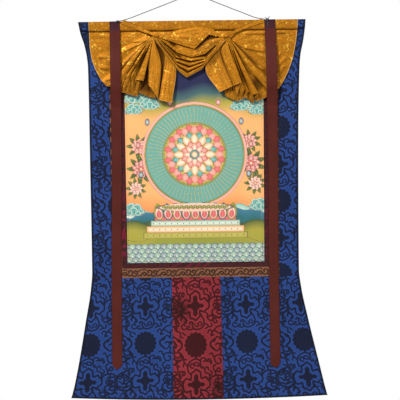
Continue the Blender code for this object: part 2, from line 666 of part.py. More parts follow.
def add_knots():
    """The knots that tie the cord to the top edge. The right one has two short tails."""
    for side, centre in KNOTS.items():
        made = bmesh.new()
        bmesh.ops.create_uvsphere(made, u_segments=14, v_segments=8, radius=0.5)
        for vert in made.verts:
            bulge = 1.0 + KNOT_LUMPS * math.cos(3 * math.atan2(vert.co.z, vert.co.x))
            vert.co = [vert.co[k] * bulge * KNOT_SIZE[k] * MM for k in range(3)]
        bmesh.ops.translate(made, verts=made.verts, vec=at(*centre))
        mesh = bpy.data.meshes.new("cord_knot_" + side)
        made.to_mesh(mesh)
        made.free()
        mesh.shade_smooth()
        knot = add_object("cord_knot_" + side, mesh, "cord")
        if side == "right":
            for number, (reach_x, reach_drop) in enumerate(TAILS):
                add_tail(knot, centre, reach_x, reach_drop, number)


def add_tail(knot, centre, reach_x, reach_drop, number):
    """A short cut end of cord, joined to its knot."""
    length = math.hypot(reach_x, reach_drop)
    bpy.ops.mesh.primitive_cylinder_add(vertices=8, radius=CORD_RADIUS * MM, depth=length * MM)
    tail = bpy.context.object
    tail.name = f"tail_guide_{number}"
    middle = (centre[0] + reach_x / 2, centre[1] + reach_drop / 2, centre[2])
    tail.location = at(*middle)
    tail.rotation_euler = (0.0, math.atan2(reach_x, -reach_drop), 0.0)
    tail.hide_render = True
    tail.display_type = "WIRE"
    join = knot.modifiers.new(f"join_tail_{number}", "BOOLEAN")
    join.operation = "UNION"
    join.object = tail


def clear_scene():
    for obj in list(bpy.data.objects):
        bpy.data.objects.remove(obj, do_unlink=True)


def main():
    clear_scene()
    add_mount()
    add_borders()
    add_veil()
    add_ties()
    add_ribbons()
    add_cord()
    add_knots()


main()
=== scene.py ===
"""The looks of a thangka scroll painting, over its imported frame.

Metres, +Z up, the front faces -Y, and the origin is the point of the cord that hangs on the nail.
Every piece of cloth is lofted as one closed sheet. The tables below are in millimetres: x to the
right, drop downwards from a level line near the nail, and forward towards the viewer from the
middle plane of the top hem. place() turns them into metres.
"""

import math
from functools import cache

import bpy
import numpy as np
from bpy.props import FloatProperty, FloatVectorProperty, IntProperty, PointerProperty
from mathutils import Matrix, Vector


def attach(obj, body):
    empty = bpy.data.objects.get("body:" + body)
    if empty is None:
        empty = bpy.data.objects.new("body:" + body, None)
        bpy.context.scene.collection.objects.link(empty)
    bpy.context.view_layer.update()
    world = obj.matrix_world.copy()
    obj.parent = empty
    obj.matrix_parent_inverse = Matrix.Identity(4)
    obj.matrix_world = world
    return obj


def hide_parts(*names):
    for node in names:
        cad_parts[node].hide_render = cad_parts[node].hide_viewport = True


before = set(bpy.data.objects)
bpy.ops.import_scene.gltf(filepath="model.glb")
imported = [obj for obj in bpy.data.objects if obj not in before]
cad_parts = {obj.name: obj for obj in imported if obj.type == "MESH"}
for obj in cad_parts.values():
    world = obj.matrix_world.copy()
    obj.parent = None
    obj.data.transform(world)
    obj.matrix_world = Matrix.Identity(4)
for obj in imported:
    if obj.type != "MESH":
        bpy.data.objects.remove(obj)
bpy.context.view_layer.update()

bl_info = {
    "name": "Thangka scroll painting",
    "version": (1, 0, 0),
    "blender": (4, 5, 0),
    "location": "3D View > Sidebar > Scroll",
    "description": "Builds the cloths, the ribbons and the cord of a hanging scroll painting",
    "category": "Object",
}

MM = 0.001
FAR = 9.0  # mm, beyond the reach of any drawn or sewn line
ATTRIBUTE_KINDS = {1: ("FLOAT", "value"), 3: ("FLOAT_VECTOR", "vector"),
                   4: ("FLOAT_COLOR", "color")}
NAIL_X, NAIL_DROP = -2.4, -5.1

# ---- the flat mount ----
TOP_EDGE = 76.0
BACK = -4.0
CLOTH = 2.0
TOP_HEM = 8.0
TOP_HEM_END = 104.0
FOOT_HEM = 7.0
FOOT_HEM_HEIGHT = 24.0
FOOT_MIDDLE = 1213.0
FOOT_RISE = 9.0
FOOT_HALF_WIDTH = 384.0
SEAM_DROP = 846.0
BINDING_WIDTH = 4.0
BINDING_EXTRA = 0.8
BINDING_PITCH = 3.0
BORDER_PITCH = 1.5
HEM_STITCH = 1.5  # from the end of a hem to the line that it is sewn with
PILLOW = 0.35  # how far a panel's seams draw it in
BODY_WAVE = 2.2
FOOT_WAVE = 4.0
OUTLINE = (  # drop, left x, right x
    (76.0, -349.6, 333.2), (110.0, -343.0, 330.0), (145.0, -332.0, 324.5), (180.0, -324.8, 317.0),
    (215.0, -321.5, 313.5), (490.0, -319.0, 306.0), (826.0, -317.0, 303.5), (878.0, -321.5, 309.5),
    (974.0, -337.8, 329.3), (1118.0, -363.8, 363.0), (1190.0, -380.0, 380.0),
    (1213.0, -387.0, 386.0),
)
PAINTING_TOP, PAINTING_FOOT = 206.0, 801.0
PAINTING_LEFT = (-214.0, -210.0)
PAINTING_RIGHT = (204.5, 200.0)
RED_BORDER = 16.5
GOLD_BORDER = 28.5
DOOR_LEFT = (-78.0, -77.0)
DOOR_RIGHT = (67.0, 73.0)

# ---- the gold veil ----
VEIL_TOP = 76.4
GATHERS = {"left": (-118.0, 136.0), "right": (91.0, 141.0)}
PINCH_RADIUS = 1.6
PLEAT_PITCH = 2.6
PINCH_BACK, PINCH_FRONT = 3.0, 13.0
SWAG_SHIFT = 4.0
NECK_ANGLES = (152.0, 122.0, 90.0, 68.0, 48.0)
NECK_STEP = 0.05
FOLD_HALF = 1.3
PLAIN_NECK_STEP = 3.0
SLACK_PITCH = 1.1
SLACK_NECK_FORWARD = (2.0, 0.4)
SLACK_SWAG = (-60.0, -8.0, 44.0)
SLACK_TURN = 4.0
BEND_SHARE = 0.62
PLAIN_ROWS = (  # drop, forward, left end x, right end x, how shaded
    # The rows over the hem's crease get painted shade; the top hem's two rows are a little darker.
    (VEIL_TOP, 5.0, -318.0, 309.5, 0.12), (103.4, 5.0, -317.5, 308.0, 0.12),
    (105.0, 3.2, -317.4, 307.9, 0.9), (107.2, 1.0, -317.2, 307.7, 0.9),
    (109.8, 1.0, -317.0, 307.6, 0.0),
)
# Slack rows: left end x, drop, forward; forward at the bend; swag drop, forward;
# right end x, drop, forward.
SLACK_ROWS = (
    (-315.5, 150.0, 0.8, 2.6, 112.0, 1.8, 303.0, 146.0, 0.8),
    (-310.0, 190.0, 0.8, 0.9, 115.5, 2.2, 293.5, 192.0, 0.9),
    (-298.5, 221.0, 1.4, 4.2, 119.0, 2.6, 280.0, 230.0, 1.6),
    (-283.0, 250.0, 1.8, 1.5, 122.5, 3.0, 266.0, 258.0, 1.8),
    (-267.0, 270.0, 2.0, 2.4, 126.0, 4.0, 250.0, 284.0, 2.0),
)
# A fold at the hem: upper x, drop; lower x, drop; floor start x, drop; floor end x, drop; ridge
# and floor forward.
LEFT_FAN = (
    (-253.0, 272.0, -240.0, 275.0, -234.0, 285.0, -206.0, 291.0, 11.0, 4.4),
    (-207.0, 241.0, -200.5, 246.0, -212.0, 290.0, -190.0, 297.0, 17.0, 3.6),
    (-192.5, 239.5, -186.5, 243.0, -195.0, 296.0, -172.0, 301.0, 18.0, 4.6),
    (-179.5, 252.0, -155.0, 256.5, -168.0, 291.0, -120.0, 307.0, 19.0, 3.8),
    (-140.5, 267.5, -111.2, 311.5, -113.0, 304.0, -98.0, 309.0, 20.0, 5.4),
    (-109.5, 313.6, -70.8, 323.4, None, None, None, None, 19.0, None),
)
RIGHT_FAN = (
    (236.0, 288.0, 222.0, 295.0, 226.0, 302.0, 179.0, 322.0, 12.0, 4.4),
    (188.0, 298.0, 172.0, 302.0, 173.0, 328.5, 150.0, 307.0, 19.0, 3.6),
    (160.5, 291.0, 155.0, 295.0, 158.0, 309.0, 137.0, 310.0, 18.0, 5.2),
    (148.5, 284.0, 143.0, 287.0, 143.0, 312.0, 118.0, 320.0, 19.0, 3.8),
    (138.5, 264.5, 113.0, 275.5, 121.0, 317.0, 88.0, 302.0, 19.0, 5.0),
    (113.0, 275.0, 72.1, 293.0, None, None, None, None, 21.0, None),
)
LEFT_BENDS = {  # fold: the same columns, halfway along the fan
    0: (-192.0, 190.0, -183.0, 195.0, -178.0, 203.0, -171.0, 206.0, 12.0, 4.4),
    4: (-139.0, 214.0, -101.5, 211.0, -101.5, 204.0, -99.0, 203.0, 15.0, 5.0),
    5: (-91.0, 188.0, -57.0, 222.0, None, None, None, None, 8.0, None),
}
RIGHT_BENDS = {
    0: (165.0, 202.0, 155.0, 210.0, 151.0, 218.0, 144.0, 221.0, 12.5, 4.4),
    4: (103.5, 165.0, 77.0, 163.0, 100.0, 168.0, 93.0, 168.0, 14.5, 4.0),
    5: (76.0, 170.0, 31.0, 220.0, None, None, None, None, 8.0, None),
}
# How far a fold's lower edge lies behind the upper one, at its end and its bend.
TUCKED = {("right", 4): (3.5, 8.0)}
# A fold of the swag: line, then left knee x, drop; lowest x, drop; right knee x, drop; forward at
# the three.
SWAG = (
    (("upper", -62.0, 108.0, 6.0, 96.0, 54.0, 103.5, 14.0, 13.5, 13.0),
     ("lower", -60.0, 143.5, -2.0, 162.5, 43.0, 120.0, 18.0, 19.0, 17.0),
     ("valley", -66.0, 134.0, -4.0, 150.0, 50.0, 118.0, 5.0, 4.5, 4.0)),
    (("upper", -55.0, 153.0, 0.0, 158.0, 46.0, 133.0, 12.5, 11.0, 11.5),
     ("lower", -50.0, 174.0, -10.0, 187.0, 31.5, 176.5, 16.0, 16.5, 15.5),
     ("valley", -58.0, 170.0, -10.0, 184.5, 33.0, 182.0, 5.5, 6.0, 5.5)),
    (("upper", -58.0, 181.7, -12.0, 191.5, 29.0, 188.0, 16.0, 15.5, 15.0),
     ("lower", -57.0, 186.7, -12.0, 197.0, 29.0, 191.4, 16.5, 15.5, 15.0),
     ("valley", -56.0, 190.3, -14.0, 201.0, 28.5, 193.4, 8.0, 6.5, 6.5)),
    (("upper", -55.5, 193.3, -16.0, 206.0, 28.5, 195.2, 16.0, 15.5, 15.0),
     ("lower", -54.5, 198.3, -16.0, 212.0, 28.0, 198.8, 16.0, 15.5, 15.0),
     ("valley", -53.5, 201.9, -18.0, 216.0, 27.0, 201.2, 8.0, 6.5, 6.5)),
    (("upper", -53.0, 204.8, -20.0, 220.5, 26.0, 203.8, 15.5, 15.0, 14.5),
     ("lower", -52.0, 210.0, -20.0, 227.0, 25.0, 208.0, 15.5, 15.0, 14.5),
     ("valley", -51.0, 213.6, -22.0, 231.5, 24.0, 210.6, 8.0, 6.5, 6.5)),
    (("upper", -50.5, 217.4, -24.0, 237.0, 22.5, 214.0, 15.0, 14.5, 14.0),
     ("lower", -49.5, 227.6, -26.0, 247.0, 18.5, 224.4, 12.5, 11.5, 11.5)),
)
SWAG_KNEES = (0.28, 0.5, 0.72)
FACE_RISE = 0.09
MOST_FACE_RISE = 2.6
LEAST_TURN = 1.6
VEIL_HALF = 0.4
CORNER = 0.14
SMALL_FOLD = 4.6
FOLD_ROUNDING = 0.3
SLACK_CREASES = (  # from x, drop, to x, drop; height; soft and sharp widths; shade under it
    (-134.0, 130.0, -216.0, 168.0, 3.4, 9.0, 1.8, 0.5),
    (-216.0, 168.0, -232.0, 172.0, 3.0, 9.0, 1.8, 0.4),
    (-262.0, 181.0, -292.0, 185.0, 1.8, 6.0, 1.8, 0.6),
    (-132.0, 134.0, -226.0, 217.0, 4.0, 9.0, 2.0, 0.6),
    (-256.0, 219.0, -290.0, 215.0, 2.0, 7.0, 2.0, 0.6),
    (-136.0, 133.0, -186.0, 140.0, 2.0, 5.0, 1.5, 0.8),
    (-248.0, 250.0, -276.0, 254.0, 1.6, 8.0, 2.6, 0.5),
    (-246.0, 282.0, -284.0, 262.0, 5.0, 9.0, 2.0, 0.0),
    (-250.0, 122.0, -300.0, 120.0, 1.2, 4.0, 1.6, 0.4),
    (109.0, 139.0, 148.0, 162.0, 3.2, 12.0, 1.6, 0.7),
    (146.0, 161.0, 216.0, 174.5, 3.2, 12.0, 1.6, 0.7),
    (122.0, 150.0, 160.0, 190.0, 2.4, 9.0, 1.8, 0.9),
    (157.0, 188.0, 192.0, 222.5, 2.8, 10.0, 1.8, 1.0),
    (188.0, 220.0, 216.0, 229.5, 2.6, 8.0, 1.8, 1.0),
    (150.0, 119.0, 222.0, 118.0, 1.8, 5.0, 1.5, 0.7),
    (238.0, 117.0, 278.0, 116.0, 2.0, 5.0, 1.5, 0.9),
    (242.0, 196.0, 262.0, 172.0, 2.2, 6.0, 2.4, 0.4),
    (242.0, 222.0, 280.0, 186.0, 2.0, 6.0, 2.4, 0.4),
    (242.0, 246.0, 272.0, 214.0, 1.8, 6.0, 2.4, 0.4),
)
# Painted shade in the hollows of the swag: x, drop, half length, half width, slope, how shaded;
# from which fold to which.
POCKETS = (
    (-67.0, 146.5, 15.0, 6.5, 0.66, 1.0, 0.82, 1.75),
    (-48.0, 184.0, 15.0, 4.5, 0.77, 1.0, 1.85, 2.7),
    (19.0, 149.5, 28.0, 7.5, -0.87, 1.0, 0.85, 1.75),
    (51.0, 129.5, 29.0, 6.5, -0.42, 1.0, 0.82, 1.75),
    (14.0, 169.5, 19.0, 3.2, 0.39, 0.7, 1.4, 1.85),
    (47.0, 170.5, 32.0, 9.0, -0.9, 1.0, 1.8, 2.78),
    (57.0, 191.0, 30.0, 13.0, -1.44, 0.55, 5.35, 5.85),
    (-84.0, 166.0, 40.0, 30.0, 0.88, 0.7, 2.35, 2.85),
    (-84.0, 166.0, 40.0, 30.0, 0.88, 0.7, 4.35, 4.85),
    (58.0, 168.0, 38.0, 30.0, -0.85, 0.75, 1.3, 1.7),
)
# The gaps between pleats: side, from which fold to which, from and to how far from the gather,
# how shaded.
GAPS = (
    ("left", 0.85, 1.35, 0.0, 105.0, 0.9), ("left", 1.85, 2.4, 0.0, 105.0, 0.9),
    ("left", 2.8, 3.42, 0.0, 125.0, 1.0), ("left", 3.8, 4.42, 0.0, 160.0, 1.0),
    ("left", 4.79, 5.42, 0.0, 175.0, 1.0),
    ("right", 0.84, 1.36, 136.0, 180.0, 1.0), ("right", 0.84, 1.36, 0.0, 60.0, 0.9),
    ("right", 1.85, 2.4, 0.0, 140.0, 0.75), ("right", 2.85, 3.4, 0.0, 140.0, 0.6),
    ("right", 3.85, 4.38, 0.0, 140.0, 0.9), ("right", 5.25, 5.42, 0.0, 135.0, 1.0),
)
LIT_FLOORS = (("right", 1.8, 3.4, 40.0, 200.0, 0.35),)
VEIL_ALONG = 3.0
VEIL_DOWN = 4.2
STREAKS = 13.0  # to a pleat
PULLED_ALONG = 0.014  # how slowly the streaks change along the cloth
VEIL_END = 3.2  # the stations run from 0 to this
TRIAL_STATIONS = 801
STREAK_STEP = 2.4  # between the rows of a face that is broad enough to show them whole

# ---- ties, ribbons, cord and knots ----
TIE_ROWS, TIE_COLUMNS = 90, 15
TIE_ROUTES = {  # x, drop, forward, width
    "left": ((-215.5, 78.4, 6.42, 15.0), (-196.0, 86.0, 6.42, 14.5), (-170.0, 97.0, 6.5, 13.0),
             (-147.0, 107.0, 9.2, 10.5), (-132.0, 113.8, 16.4, 8.8), (-121.0, 119.0, 20.4, 7.6),
             (-110.0, 124.2, 21.4, 7.0)),
    "right": ((203.5, 80.0, 6.42, 13.0), (184.0, 86.0, 6.42, 12.5), (158.0, 96.0, 6.5, 11.5),
              (125.0, 109.5, 9.2, 10.0), (107.0, 118.0, 16.4, 8.6), (95.0, 123.4, 20.4, 7.6),
              (84.0, 128.4, 21.4, 7.0)),
}
RIBBON_TOP = 76.0
RIBBON_RUNS = {  # drop, centre x, width
    "left": ((76.0, -239.8, 31.0), (290.0, -238.2, 31.5), (515.0, -238.9, 30.4),
             (764.0, -242.8, 30.4),
             (1104.0, -245.2, 30.4)),
    "right": ((76.0, 225.2, 32.6), (220.0, 229.0, 33.2), (330.0, 229.8, 32.4), (464.0, 230.0, 30.4),
              (614.0, 229.2, 29.6), (764.0, 227.9, 29.6), (1104.6, 229.2, 30.2)),
}
RIBBON_TIPS = {"left": (-247.0, 1121.0), "right": (234.0, 1121.6)}
RIBBON_POINT = 17.0
RIBBON_RELIEF = (  # drop, forward
    (76.0, 6.6), (84.0, 6.7), (108.0, 8.6), (150.0, 11.0), (196.0, 17.5), (236.0, 20.5),
    (268.0, 20.5), (300.0, 13.5), (335.0, 5.2),
)
RIBBON_CLEAR = 2.6
RIBBON_SETTLE = 90.0
CORD_RADIUS = 1.25
CORD_ROUTE = (  # x, drop, forward
    (-222.6, 75.2, 9.0), (-216.5, 73.8, 5.0), (-206.0, 70.8, 2.4), (-150.0, 50.4, 1.2),
    (-80.0, 24.0, 0.5), (-10.0, -2.6, 0.0), (NAIL_X, NAIL_DROP, 0.0), (5.0, -2.4, 0.0),
    (70.0, 24.4, 0.5), (140.0, 52.6, 1.2), (193.0, 72.4, 2.4), (203.5, 74.0, 5.0),
    (211.4, 75.4, 9.0),
)
CORD_POINTS = 40
TUBE_STEP = 1.1
KNOT_STEPS = 8

# ---- the woven patterns, charted ----
# One repeat of the mount's brocade, from the middle of the stepped cross: half width, then x, drop.
BROCADE_REPEAT = (170.0, 222.0)
# The cross: half width and height of its bars; x, drop and reach of its tips.
CROSS_BARS = ((7.0, 26.5), (22.0, 6.0), (12.0, 10.5))
CROSS_TIPS = ((0.0, 25.0, 6.5), (20.5, 0.0, 7.5))
ROUND_FLOWER = (0.0, 110.5, 34.5, 37.0, 8)  # x, drop, half width, half height, petals
BROCADE_LINES = (
    (2.9, ((0, -43), (7, -39), (13, -34), (14, -24), (16, -17), (23, -19), (30, -21), (33, -15),
           (39, -10), (42, -1), (39, 8), (32, 12), (27, 18), (21, 16), (14, 14), (13, 22),
           (14, 29), (7, 35), (1, 41), (-6, 36), (-14, 35), (-17, 24), (-17, 17), (-23, 19),
           (-30, 21), (-35, 16), (-39, 11), (-43, 4), (-43, -2), (-39, -10), (-34, -13),
           (-30, -18), (-23, -16), (-17, -13), (-15, -22), (-15, -31), (-8, -36), (0, -43))),
    (2.6, ((-20, -32), (-24, -38), (-25, -45), (-24, -54), (-21, -62), (-13, -68), (-3, -72),
           (6, -71), (12, -66), (14, -59), (14, -51), (17, -46), (21, -47), (21, -51))),
    (2.4, ((-7, -47), (-13, -47), (-17, -51), (-16, -57), (-11, -59), (-7, -57), (-6, -53))),
    (2.4, ((-6, -57), (-3, -62), (3, -62), (8, -58), (8, -52), (3, -52), (-2, -54))),
    (2.5, ((-25, -52), (-30, -57), (-34, -62), (-37, -69), (-33, -72), (-28, -71))),
    (2.5, ((-35, -62), (-38, -57), (-38, -51))),
    (2.5, ((14, -63), (14, -70), (19, -74), (26, -74), (29, -70), (26, -65), (22, -65))),
    (2.5, ((29, -67), (34, -64), (35, -69), (40, -71), (45, -67), (47, -60), (44, -56))),
    (2.5, ((39, -65), (42, -62))),
    (2.6, ((37, -40), (36, -47), (31, -48), (26, -43), (27, -34), (33, -31), (39, -29), (40, -23),
           (40, -17), (39, -11))),
    (2.5, ((40, -24), (46, -27), (48, -33), (43, -37))),
    (2.6, ((58, -24), (58, -32), (55, -38), (52, -45), (53, -52), (59, -53))),
    (2.6, ((58, -32), (62, -38), (65, -44), (71, -43), (73, -37), (69, -33), (66, -35))),
    (2.8, ((41, -10), (44, -16), (50, -21), (61, -24), (71, -24), (81, -19))),
    (2.4, ((58, -6), (58, -12), (62, -15), (65, -12), (65, -6), (61, -4))),
    (2.4, ((61, -4), (54, -3), (54, 2), (59, 5), (62, 2))),
    (2.4, ((67, -1), (71, -4), (74, 1), (71, 6), (67, 4))),
    (2.8, ((65, 8), (58, 10), (52, 14), (50, 21), (54, 28), (61, 32), (69, 36), (78, 34),
           (82, 28))),
    (2.5, ((65, 8), (72, 11), (78, 14), (81, 20), (76, 25), (70, 25), (65, 21), (67, 15),
           (73, 16))),
    (2.6, ((32, 21), (37, 25), (35, 32), (38, 38), (45, 43), (50, 41))),
    (2.6, ((41, 32), (46, 28), (51, 30), (54, 37), (59, 38), (63, 35))),
    (2.6, ((54, 39), (54, 46), (59, 50), (65, 47), (63, 43))),
    (2.7, ((15, 22), (20, 31), (25, 40), (26, 50), (23, 59), (13, 65), (3, 67), (-6, 63),
           (-10, 55), (-8, 48), (-13, 45), (-18, 48), (-17, 51))),
    (2.3, ((-2, 50), (-1, 56), (5, 59), (9, 55), (6, 51))),
    (2.3, ((7, 52), (11, 46), (17, 47), (19, 53), (14, 56))),
    (2.5, ((-8, 65), (-16, 67), (-23, 65), (-25, 60), (-21, 57), (-17, 60))),
    (2.5, ((-28, 64), (-35, 66), (-41, 62), (-41, 55), (-35, 52), (-30, 56))),
    (2.7, ((-38, 18), (-41, 23), (-48, 26), (-55, 31), (-59, 39), (-59, 48), (-54, 55),
           (-50, 56))),
    (2.5, ((-56, 45), (-50, 47), (-50, 54))),
    (2.9, ((-41, 24), (-40, 31), (-44, 37), (-43, 40))),
    (2.7, ((-38, 31), (-31, 35), (-26, 41), (-29, 47), (-34, 46))),
    (2.9, ((-40, 25), (-35, 31))),
    (2.6, ((-66, -40), (-61, -36), (-56, -37), (-54, -43), (-57, -50), (-54, -55), (-49, -51))),
    (2.6, ((-65, -24), (-59, -29), (-52, -31), (-47, -25), (-44, -21))),
    (2.5, ((-51, -26), (-48, -31), (-49, -37), (-44, -39), (-40, -35), (-41, -30))),
    (2.5, ((-40, -37), (-35, -38), (-33, -32), (-36, -27), (-41, -27))),
    (2.6, ((-65, -20), (-57, -19), (-51, -12), (-54, -4), (-60, -2))),
    (2.6, ((-66, 6), (-60, 6), (-55, 10), (-57, 15), (-62, 17), (-65, 21))),
    (2.5, ((28, 52), (35, 53), (39, 59), (45, 60), (50, 56), (46, 50))),
    (2.5, ((29, 65), (35, 62), (39, 60))),
    (2.6, ((37, 78), (39, 71), (45, 69), (48, 73))),
    (2.6, ((46, 86), (48, 80), (54, 71), (61, 64), (68, 60), (75, 59), (79, 51), (83, 46))),
    (2.6, ((55, 71), (62, 74), (69, 79), (77, 81))),
    (2.5, ((45, 81), (50, 85), (55, 83))),
    (2.6, ((55, 103), (61, 92), (65, 89), (71, 92), (75, 97), (76, 88), (75, 81), (79, 75),
           (84, 73))),
    (2.6, ((-63, 61), (-58, 69), (-49, 72), (-45, 79), (-46, 86), (-38, 89))),
    (2.5, ((-40, 74), (-35, 78), (-30, 82))),
    (2.5, ((-64, 86), (-56, 92), (-48, 94), (-45, 100))),
    (3.3, ((-54, -125), (-47, -122), (-42, -117), (-42, -108), (-47, -101), (-53, -97))),
    (2.4, ((-64, -124), (-61, -118), (-65, -111), (-61, -107), (-65, -102))),
    (2.4, ((-64, -97), (-59, -91), (-52, -94))),
    (2.6, ((-48, -86), (-41, -84), (-38, -78), (-42, -72), (-49, -70), (-57, -70), (-62, -72),
           (-65, -77))),
    (2.4, ((-47, -85), (-47, -80), (-42, -78))),
    (2.4, ((-56, -69), (-54, -65), (-58, -59))),
    (3.3, ((58, -127), (50, -122), (44, -115), (45, -107), (51, -101), (56, -97))),
    (2.9, ((60, -111), (66, -114), (72, -112), (77, -114), (79, -108), (73, -106))),
    (2.5, ((56, -97), (61, -93), (67, -94), (72, -101), (76, -94), (74, -85), (80, -78))),
    (2.4, ((40, -84), (44, -87), (48, -87))),
    (2.6, ((49, -87), (51, -81), (55, -74), (57, -66), (61, -59), (69, -57), (75, -62), (74, -70),
           (69, -72))),
    (2.5, ((55, -74), (61, -80), (69, -81), (76, -79))),
    (2.7, ((-59, -29), (-69, -27), (-80, -20), (-88, -11), (-91, -1), (-89, 11), (-83, 23))),
    (2.9, ((-80, -16), (-84, -6), (-84, 5), (-80, 17), (-72, 25), (-61, 28), (-50, 26), (-42, 18),
           (-38, 9), (-40, 0), (-37, -9))),
    (2.4, ((-79, -10), (-78, -16), (-72, -15), (-71, -10), (-76, -7))),
    (2.7, ((-66, -26), (-66, -17), (-63, -9), (-64, -1), (-60, 7), (-55, 9), (-53, 4))),
    (2.4, ((-65, -13), (-71, -20), (-68, -24))),
    (2.4, ((-63, -9), (-57, -12), (-58, -18))),
    (2.7, ((-76, 14), (-69, 17), (-62, 19), (-54, 17), (-46, 12))),
    (2.4, ((-78, 0), (-72, 2), (-69, 8), (-65, 9))),
    (2.4, ((-51, -23), (-47, -18), (-49, -12), (-45, -9), (-39, -10))),
    (2.4, ((-53, -6), (-48, -2), (-50, 4))),
    (2.5, ((-91, -16), (-99, -13), (-103, -16), (-105, -21))),
    (2.5, ((-74, 43), (-69, 37), (-62, 34), (-55, 38), (-52, 43))),
    (2.5, ((-43, 40), (-42, 32), (-35, 31), (-29, 36), (-30, 42))),
    (2.5, ((-97, 35), (-91, 31), (-85, 31), (-83, 37))),
    (2.5, ((-110, -4), (-103, 0), (-102, 7), (-107, 11))),
    (2.6, ((-71, 67), (-72, 61), (-67, 56), (-59, 57), (-56, 63), (-60, 68))),
    (2.7, ((-72, 75), (-68, 86), (-70, 97), (-63, 103), (-57, 110), (-62, 117), (-70, 114))),
    (2.7, ((-75, 126), (-70, 122), (-66, 130), (-63, 140), (-54, 145), (-46, 141), (-44, 134),
           (-50, 131))),
    (2.7, ((-74, 148), (-73, 158), (-66, 164), (-59, 158), (-62, 150), (-68, 148))),
    (2.7, ((-78, 88), (-74, 96), (-76, 107), (-73, 115))),
    (2.5, ((-37, 144), (-47, 154), (-56, 157), (-62, 166))),
)
# Panel: a cross's x, drop; the warp's lean, the drop where there is none; a repeat's length.
WEAVE_PLACES = {
    "foot_panel_left": (-161.0, 932.0, 0.066, 1100.0, 222.0),
    "foot_panel_right": (145.0, 929.5, 0.098, 1035.0, 224.0),
    "red_door": (-9.0, 932.0, 0.0, 1000.0, 236.0),
    "side_strip_left": (-234.5, 296.5, 0.0, 400.0, 221.5),
    "side_strip_right": (250.0, 510.0, 0.0, 400.0, 221.5),
    "heading": (-64.5, 185.0, 0.0, 400.0, 222.0),
}
WEFT_TILT = 0.027
MOUNT_HALF_WIDTH = 330.0
OUTSIDE = -9.0  # a chart's depth far from any motif
# The wider border's scrolls along its length: one repeat of 58 mm, 28 mm across.
SCROLL_REPEAT = (58.0, 28.0)
SCROLL_LINES = (
    (2.5, ((3, 23), (7, 15), (14, 12), (19, 16), (16, 21), (11, 19))),
    (2.5, ((19, 16), (26, 22), (34, 19), (36, 11), (30, 6), (24, 9), (26, 14))),
    (2.5, ((34, 19), (41, 24), (48, 20), (51, 12), (46, 7), (41, 10), (44, 15))),
    (2.3, ((51, 12), (57, 7), (61, 4))),
    (2.1, ((8, 5), (14, 3), (19, 6))),
    (2.1, ((52, 24), (57, 20), (61, 23))),
)
# The narrow border's small scrolls: one repeat of 40 mm, 16.5 mm across.
SPRIG_REPEAT = (40.0, 16.5)
SPRIG_LINES = (
    (1.5, ((3, 4), (8, 7), (6, 12), (2, 13))),
    (1.4, ((13, 13), (17, 8), (23, 8), (22, 13))),
    (1.5, ((28, 3), (33, 6), (31, 11), (36, 14))),
)
# The veil's lighter curls, in loose clusters: one repeat of 104 by 92 mm.
CURL_REPEAT = (104.0, 92.0)
CURL_LINES = (
    (1.5, ((14, 20), (9, 17), (8, 11), (13, 7), (19, 9), (20, 14))),
    (1.2, ((20, 14), (26, 17), (31, 14))),
    (1.3, ((26, 17), (27, 23), (22, 25))),
    (1.1, ((13, 7), (16, 2), (21, 1))),
    (1.5, ((66, 12), (72, 8), (79, 11), (78, 18), (71, 19))),
    (1.2, ((79, 11), (85, 7), (90, 9))),
    (1.1, ((71, 19), (67, 25), (61, 24))),
    (1.4, ((40, 44), (46, 39), (53, 42), (54, 49), (48, 53), (43, 50))),
    (1.2, ((53, 42), (58, 37), (64, 38))),
    (1.2, ((54, 49), (61, 53), (66, 50))),
    (1.1, ((40, 44), (34, 46), (31, 42))),
    (1.4, ((88, 56), (95, 53), (100, 58), (96, 64), (90, 62))),
    (1.2, ((100, 58), (106, 56), (109, 60))),
    (1.5, ((8, 66), (4, 72), (9, 78), (16, 76), (17, 70))),
    (1.2, ((16, 76), (22, 80), (28, 77))),
    (1.3, ((60, 78), (66, 74), (72, 78), (70, 84))),
    (1.1, ((72, 78), (78, 76))),
    (1.0, ((33, 66), (37, 63), (42, 65))),
)


# ---- shapes ----
def place(points):
    """World metres of places in the drafting frame."""
    points = np.asarray(points, float)
    return np.stack([(points[..., 0] - NAIL_X) * MM, -points[..., 2] * MM,
                     (NAIL_DROP - points[..., 1]) * MM], axis=-1)


def place_grid(x, drop, forward):
    return place(np.stack([x, drop, forward], axis=-1))


def cloth_places(across, along):
    """Where points lie on their flat cloth, in mm, for its weave."""
    return np.stack([across, along, np.zeros_like(across)], axis=-1)


def smooth_through(knots, values, where):
    """Values at `where` on smooth curves that never overshoot their knots (last axis but one)."""
    knots, values, where = (np.asarray(given, float) for given in (knots, values, where))
    step = np.diff(knots)[:, None]
    slope = np.diff(values, axis=-2) / step
    before, after = slope[..., :-1, :], slope[..., 1:, :]
    turning = before * after <= 0
    weight = 2 * step[1:] + step[:-1], step[1:] + 2 * step[:-1]
    safe_before, safe_after = np.where(turning, 1.0, before), np.where(turning, 1.0, after)
    inner = (weight[0] + weight[1]) / (weight[0] / safe_before + weight[1] / safe_after)
    inner = np.where(turning, 0.0, inner)
    tangent = np.concatenate([slope[..., :1, :], inner, slope[..., -1:, :]], axis=-2)
    index = np.clip(np.searchsorted(knots, where, side="right") - 1, 0, len(knots) - 2)
    width = step[index]
    t = ((where - knots[index]) / width[:, 0])[:, None]
    start, end = values[..., index, :], values[..., index + 1, :]
    return ((1 + 2 * t) * (1 - t) ** 2 * start + t * (1 - t) ** 2 * width * tangent[..., index, :]
            + t * t * (3 - 2 * t) * end - t * t * (1 - t) * width * tangent[..., index + 1, :])


def ramp(value, start, end):
    t = np.clip((np.asarray(value, float) - start) / (end - start), 0.0, 1.0)
    return t * t * (3 - 2 * t)


